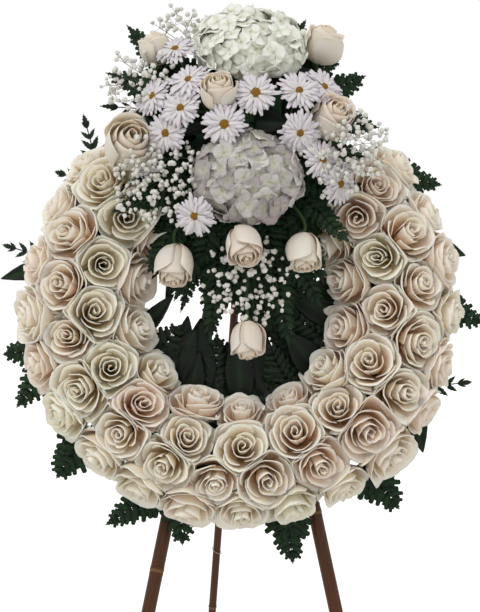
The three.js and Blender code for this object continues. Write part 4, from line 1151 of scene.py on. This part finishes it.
def add_frond(bm, side_layer, root, tip, face, wide, kind, arch, seed):
    """A frond from root to tip: a bent stalk with pairs of leaflets that shorten towards the tip."""
    root, tip = Vector(root), Vector(tip)
    length = (tip - root).length
    y_way = (tip - root).normalized()
    x_way = y_way.cross(Vector(face)).normalized()
    place = Matrix((x_way, y_way, x_way.cross(y_way))).transposed().to_4x4()
    place = Matrix.Translation(root) @ place
    if kind == "leaf":
        stalk = [place @ Vector((0, length * t, -arch * t * t)) for t in (0, 0.1, 0.2)]
        sweep(bm, stalk, 1.2, 5)
        blade = place @ Matrix.Translation((0, 0.16 * length, 0))
        add_blade(bm, side_layer, blade, 0.84 * length, wide / 2, 6, 12, 0.98, arch)
        return
    stalk = [place @ Vector((0, length * t / 8, -arch * (t / 8) ** 2)) for t in range(9)]
    sweep(bm, stalk, 1.1, 5, taper=0.35)
    fern = kind != "sprig"
    pairs = max(5, round(length / 14)) if fern else max(4, round(length / 22))
    for i in range(pairs):
        share = 0.18 + 0.74 * (i + 0.5) / pairs
        reach = wide / 2 * (1.42 - 1.16 * share) * (0.6 + 0.4 * min(1, 5 * (share - 0.12)))
        for side in (-1, 1):
            open_turn = (58 if fern else 44) - 22 * share + 12 * wobble(seed + i + side)
            turn = side * math.radians(open_turn)
            tilt = Matrix.Rotation(side * 0.5 * (wobble(seed + 3 * i + side) - 0.3), 4, "Y")
            spot = place @ Matrix.Translation((0, length * share - 4, -arch * share**2))
            spot = spot @ Matrix.Rotation(-turn, 4, "Z") @ tilt
            if fern:
                long = 1.2 * reach * (0.9 + 0.2 * wobble(seed + 7 * i + side))
                half = 2.6 + 0.27 * reach
                add_blade(bm, side_layer, spot, long, half, 2, 8, 0.66, 0.14 * reach)
            else:
                long = 1.25 * reach
                add_blade(bm, side_layer, spot, long, 0.24 * reach, 4, 9, 0.8, 0.15 * reach)
    top = place @ Matrix.Translation((0, 0.84 * length, -arch * 0.75))
    add_blade(bm, side_layer, top, 0.16 * length, 0.05 * wide + 2, 4, 9, 0.7, 0.3)


RIM_ROOT, RIM_DEPTH = 256, 14.5
# How far round the ring each group's foot is, and the tip, width and kind of each of its fronds.
RIM_FRONDS = [
    (42, [((284, 172, 13), 60, "fern")]),
    (68, [((316, 72, 12), 30, "leaf")]),
    (88, [((340, -24, 12), 57, "fern")]),
    (117, [((322, -106, 12), 44, "sprig"), ((252, -204, 12), 34, "leaf")]),
    (143, [((218, -282, 12), 68, "fern")]),
    (167, [((70, -356, 12), 65, "fern")]),
    (200, [((-82, -330, 12), 60, "fern"), ((-188, -302, 12), 60, "fern")]),
    (232, [((-256, -238, 12), 70, "fern")]),
    (257, [((-312, -140, 12), 57, "fern"), ((-332, -66, 12), 57, "fern")]),
    (284, [((-336, 40, 12), 26, "leaf"), ((-334, 88, 12), 42, "sprig")]),
    (311, [((-262, 192, 12), 40, "sprig"), ((-222, 274, 12), 44, "sprig")]),
]
for number, (round_turn, fronds) in enumerate(RIM_FRONDS, 1):
    a = math.radians(round_turn)
    root = (RIM_ROOT * math.sin(a), RIM_ROOT * math.cos(a), RIM_DEPTH)
    frond_bm = bmesh.new()
    side_layer = frond_bm.verts.layers.float.new("side")
    for i, (tip, wide, kind) in enumerate(fronds):
        add_frond(frond_bm, side_layer, root, tip, (0, 0, 1), wide, kind, 6, 17 * number + i)
    name, node = f"rim_frond_{number:02d}", f"rim_fern_{number:02d}"
    finish_piece(frond_bm, name, fern_green, [node], thickness=LEAF_THICKNESS)

# Each group's node, foot and the way it faces, and the tip, width and kind of each of its fronds.
SPRAY_FRONDS = [
    ("fern_spray_left", (-52, 262, 68), (-0.1, 0.1, 1), [
        ((-186, 318, 76), 56, "fern"), ((-158, 386, 72), 56, "fern"), ((-192, 268, 92), 44, "sprig"),
    ]),
    ("fern_spray_right", (56, 262, 68), (0.1, 0.1, 1), [
        ((172, 314, 76), 64, "fern"), ((188, 240, 84), 60, "fern"), ((118, 376, 66), 46, "leaf"),
    ]),
    ("fern_side_left", (-54, 168, 88), (-0.2, -0.1, 1), [
        ((-172, 114, 140), 50, "fern"), ((-128, 36, 104), 60, "fern"),
    ]),
    ("fern_side_right", (56, 168, 88), (0.2, -0.1, 1), [
        ((142, 74, 134), 50, "fern"), ((112, 20, 98), 54, "fern"),
    ]),
    ("fern_hanging_left", (-26, 136, 84), (0, 0, 1), [
        ((-92, 0, 88), 56, "fern"), ((-44, -58, 88), 56, "fern"),
    ]),
    ("fern_hanging_right", (30, 136, 84), (0, 0, 1), [
        ((108, -10, 86), 54, "fern"), ((64, -64, 84), 58, "fern"),
    ]),
]
for number, (node, root, face, fronds) in enumerate(SPRAY_FRONDS):
    frond_bm = bmesh.new()
    side_layer = frond_bm.verts.layers.float.new("side")
    for i, (tip, wide, kind) in enumerate(fronds):
        add_frond(frond_bm, side_layer, root, tip, face, wide, kind, 6, 300 + 19 * number + i)
    finish_piece(frond_bm, f"{node}_fronds", fern_green, [node], thickness=LEAF_THICKNESS)

INNER_DEPTH = 26  # where leaves enter the ring's inner side
inner_bm = bmesh.new()
side_layer = inner_bm.verts.layers.float.new("side")
inner_turn = math.radians(190)
inner_reach = RING_RADIUS - FOAM_WIDE + 1
inner_root = (inner_reach * math.sin(inner_turn), inner_reach * math.cos(inner_turn), INNER_DEPTH)
for i, (tip, wide) in enumerate([
    ((-62, -62, 40), 34), ((-26, -74, 34), 34), ((30, -86, 34), 34), ((66, -96, 44), 30),
]):
    add_frond(inner_bm, side_layer, inner_root, tip, (0, 0.1, 1), wide, "leaf", 6, 500 + i)
finish_piece(inner_bm, "inner_leaves", broad_green, ["leaves_inner"], thickness=LEAF_THICKNESS)


# Filling greens.
# More of the same fern and some broad leaves, pushed into the foam block behind the blooms and into
# the ring's inner side, so that the spray is backed and the hole is half hidden by dark foliage, whose
# near-black colour is partly painted shade.
# Each group's name, green and the way it faces, and the foot, tip, width and kind of its fronds.
FILL_FRONDS = [
    ("fern_fill_hole", fern_green, (0, 0, 1), [
        ((-18, 138, 74), (-66, 26, 66), 70, "fern"), ((-6, 138, 74), (-22, -8, 60), 80, "fern"),
        ((8, 138, 74), (10, -34, 58), 84, "fern"), ((22, 138, 74), (48, -22, 62), 84, "fern"),
        ((36, 138, 74), (84, 6, 66), 84, "fern"), ((-30, 138, 72), (-104, 62, 60), 66, "fern"),
        ((44, 138, 72), (116, 52, 60), 70, "fern"), ((0, 138, 92), (-14, 52, 118), 60, "fern"),
        ((20, 138, 92), (48, 48, 112), 60, "fern"), ((-30, 138, 92), (-56, 50, 108), 60, "fern"),
        ((-14, 138, 68), (-40, -20, 44), 84, "fern"), ((30, 138, 68), (30, -60, 44), 84, "fern"),
        ((40, 138, 68), (74, -44, 48), 84, "fern"), ((-36, 140, 78), (-112, 26, 84), 50, "fern"),
        ((-30, 138, 80), (-84, -14, 70), 40, "fern"),
    ]),
    ("leaf_fill_hole", broad_green, (0.1, 0, 1), [
        ((-40, 142, 70), (-96, 86, 48), 44, "leaf"), ((-16, 142, 66), (-44, 44, 40), 54, "leaf"),
        ((14, 142, 66), (26, 30, 40), 60, "leaf"), ((44, 142, 70), (104, 68, 48), 50, "leaf"),
        ((0, 142, 60), (-8, 36, 34), 60, "leaf"), ((30, 142, 60), (66, 40, 36), 60, "leaf"),
        ((-46, 142, 60), (-104, 6, 46), 40, "leaf"), ((-50, 142, 66), (-128, 30, 60), 34, "leaf"),
    ]),
    ("fern_fill_left", fern_green, (-0.2, 0, 1), [
        ((-50, 180, 76), (-166, 150, 92), 58, "fern"), ((-50, 214, 76), (-174, 208, 88), 58, "fern"),
        ((-50, 240, 76), (-168, 246, 84), 58, "fern"), ((-50, 190, 96), (-128, 132, 112), 48, "fern"),
        ((-44, 288, 74), (-120, 350, 70), 52, "fern"),
    ]),
    ("fern_fill_right", fern_green, (0.2, 0, 1), [
        ((54, 180, 76), (168, 150, 92), 58, "fern"), ((54, 214, 76), (172, 196, 88), 58, "fern"),
        ((54, 240, 76), (160, 262, 84), 58, "fern"), ((54, 190, 96), (136, 130, 112), 48, "fern"),
        ((50, 288, 74), (140, 342, 70), 52, "fern"), ((30, 290, 76), (92, 396, 66), 46, "fern"),
    ]),
    ("leaf_fill_spray", broad_green, (0, 0.1, 1), [
        ((-50, 230, 84), (-128, 232, 104), 44, "leaf"), ((54, 230, 84), (132, 232, 104), 44, "leaf"),
        ((-40, 286, 84), (-92, 318, 96), 42, "leaf"), ((46, 286, 84), (104, 316, 96), 42, "leaf"),
        ((-44, 160, 90), (-104, 110, 104), 42, "leaf"), ((50, 160, 90), (110, 106, 104), 42, "leaf"),
        ((0, 250, 106), (-30, 312, 122), 40, "leaf"), ((10, 240, 106), (56, 236, 132), 40, "leaf"),
        ((0, 220, 106), (-60, 200, 134), 40, "leaf"), ((-30, 286, 84), (-72, 262, 120), 46, "leaf"),
        ((-10, 286, 84), (-64, 300, 104), 50, "leaf"), ((30, 286, 84), (70, 290, 110), 50, "leaf"),
        ((46, 270, 90), (66, 214, 128), 50, "leaf"), ((20, 286, 84), (44, 320, 100), 44, "leaf"),
        ((-20, 282, 90), (-92, 224, 112), 60, "leaf"), ((-46, 226, 90), (-60, 296, 116), 54, "leaf"),
        ((28, 256, 90), (96, 290, 112), 50, "leaf"),
    ]),
]
for number, (name, material, face, fronds) in enumerate(FILL_FRONDS):
    frond_bm = bmesh.new()
    side_layer = frond_bm.verts.layers.float.new("side")
    for i, (root, tip, wide, kind) in enumerate(fronds):
        add_frond(frond_bm, side_layer, root, tip, face, wide, kind, 8, 700 + 23 * number + i)
    finish_piece(frond_bm, name, material, thickness=LEAF_THICKNESS)

# Leaves that stand in the ring's inner side, at the foot and the right of the hole: how far round
# the ring each one's foot is, its tip and its width. Each third one is a wider frond of fern.
INNER_LEAVES = [
    (150, (34, -56, 58), 40), (165, (20, -20, 50), 40), (180, (-6, -26, 56), 40),
    (193, (-34, -40, 50), 38), (208, (-58, -66, 48), 34), (132, (60, -40, 58), 44),
    (116, (64, -10, 54), 40), (100, (60, 12, 56), 42), (84, (84, 18, 60), 40),
    (142, (44, -30, 46), 44), (158, (14, -48, 44), 44), (186, (-20, -52, 42), 44),
    (124, (70, -24, 44), 44), (172, (2, -14, 40), 40), (222, (-62, -34, 50), 46),
    (236, (-84, -30, 56), 40), (204, (-56, -20, 46), 54), (214, (-74, -16, 40), 42),
    (232, (-108, -44, 48), 34), (250, (-94, 12, 56), 26),
]
inside_reach = RING_RADIUS - FOAM_WIDE + 2
inside_bm = bmesh.new()
side_layer = inside_bm.verts.layers.float.new("side")
for i, (round_turn, tip, wide) in enumerate(INNER_LEAVES):
    a = math.radians(round_turn)
    root = (inside_reach * math.sin(a), inside_reach * math.cos(a), INNER_DEPTH)
    kind, wide = ("leaf", wide) if i % 3 else ("fern", wide * 1.5)
    add_frond(inside_bm, side_layer, root, tip, (0, 0, 1), wide, kind, 5, 640 + i)
finish_piece(inside_bm, "leaves_inside_ring", broad_green, thickness=LEAF_THICKNESS)
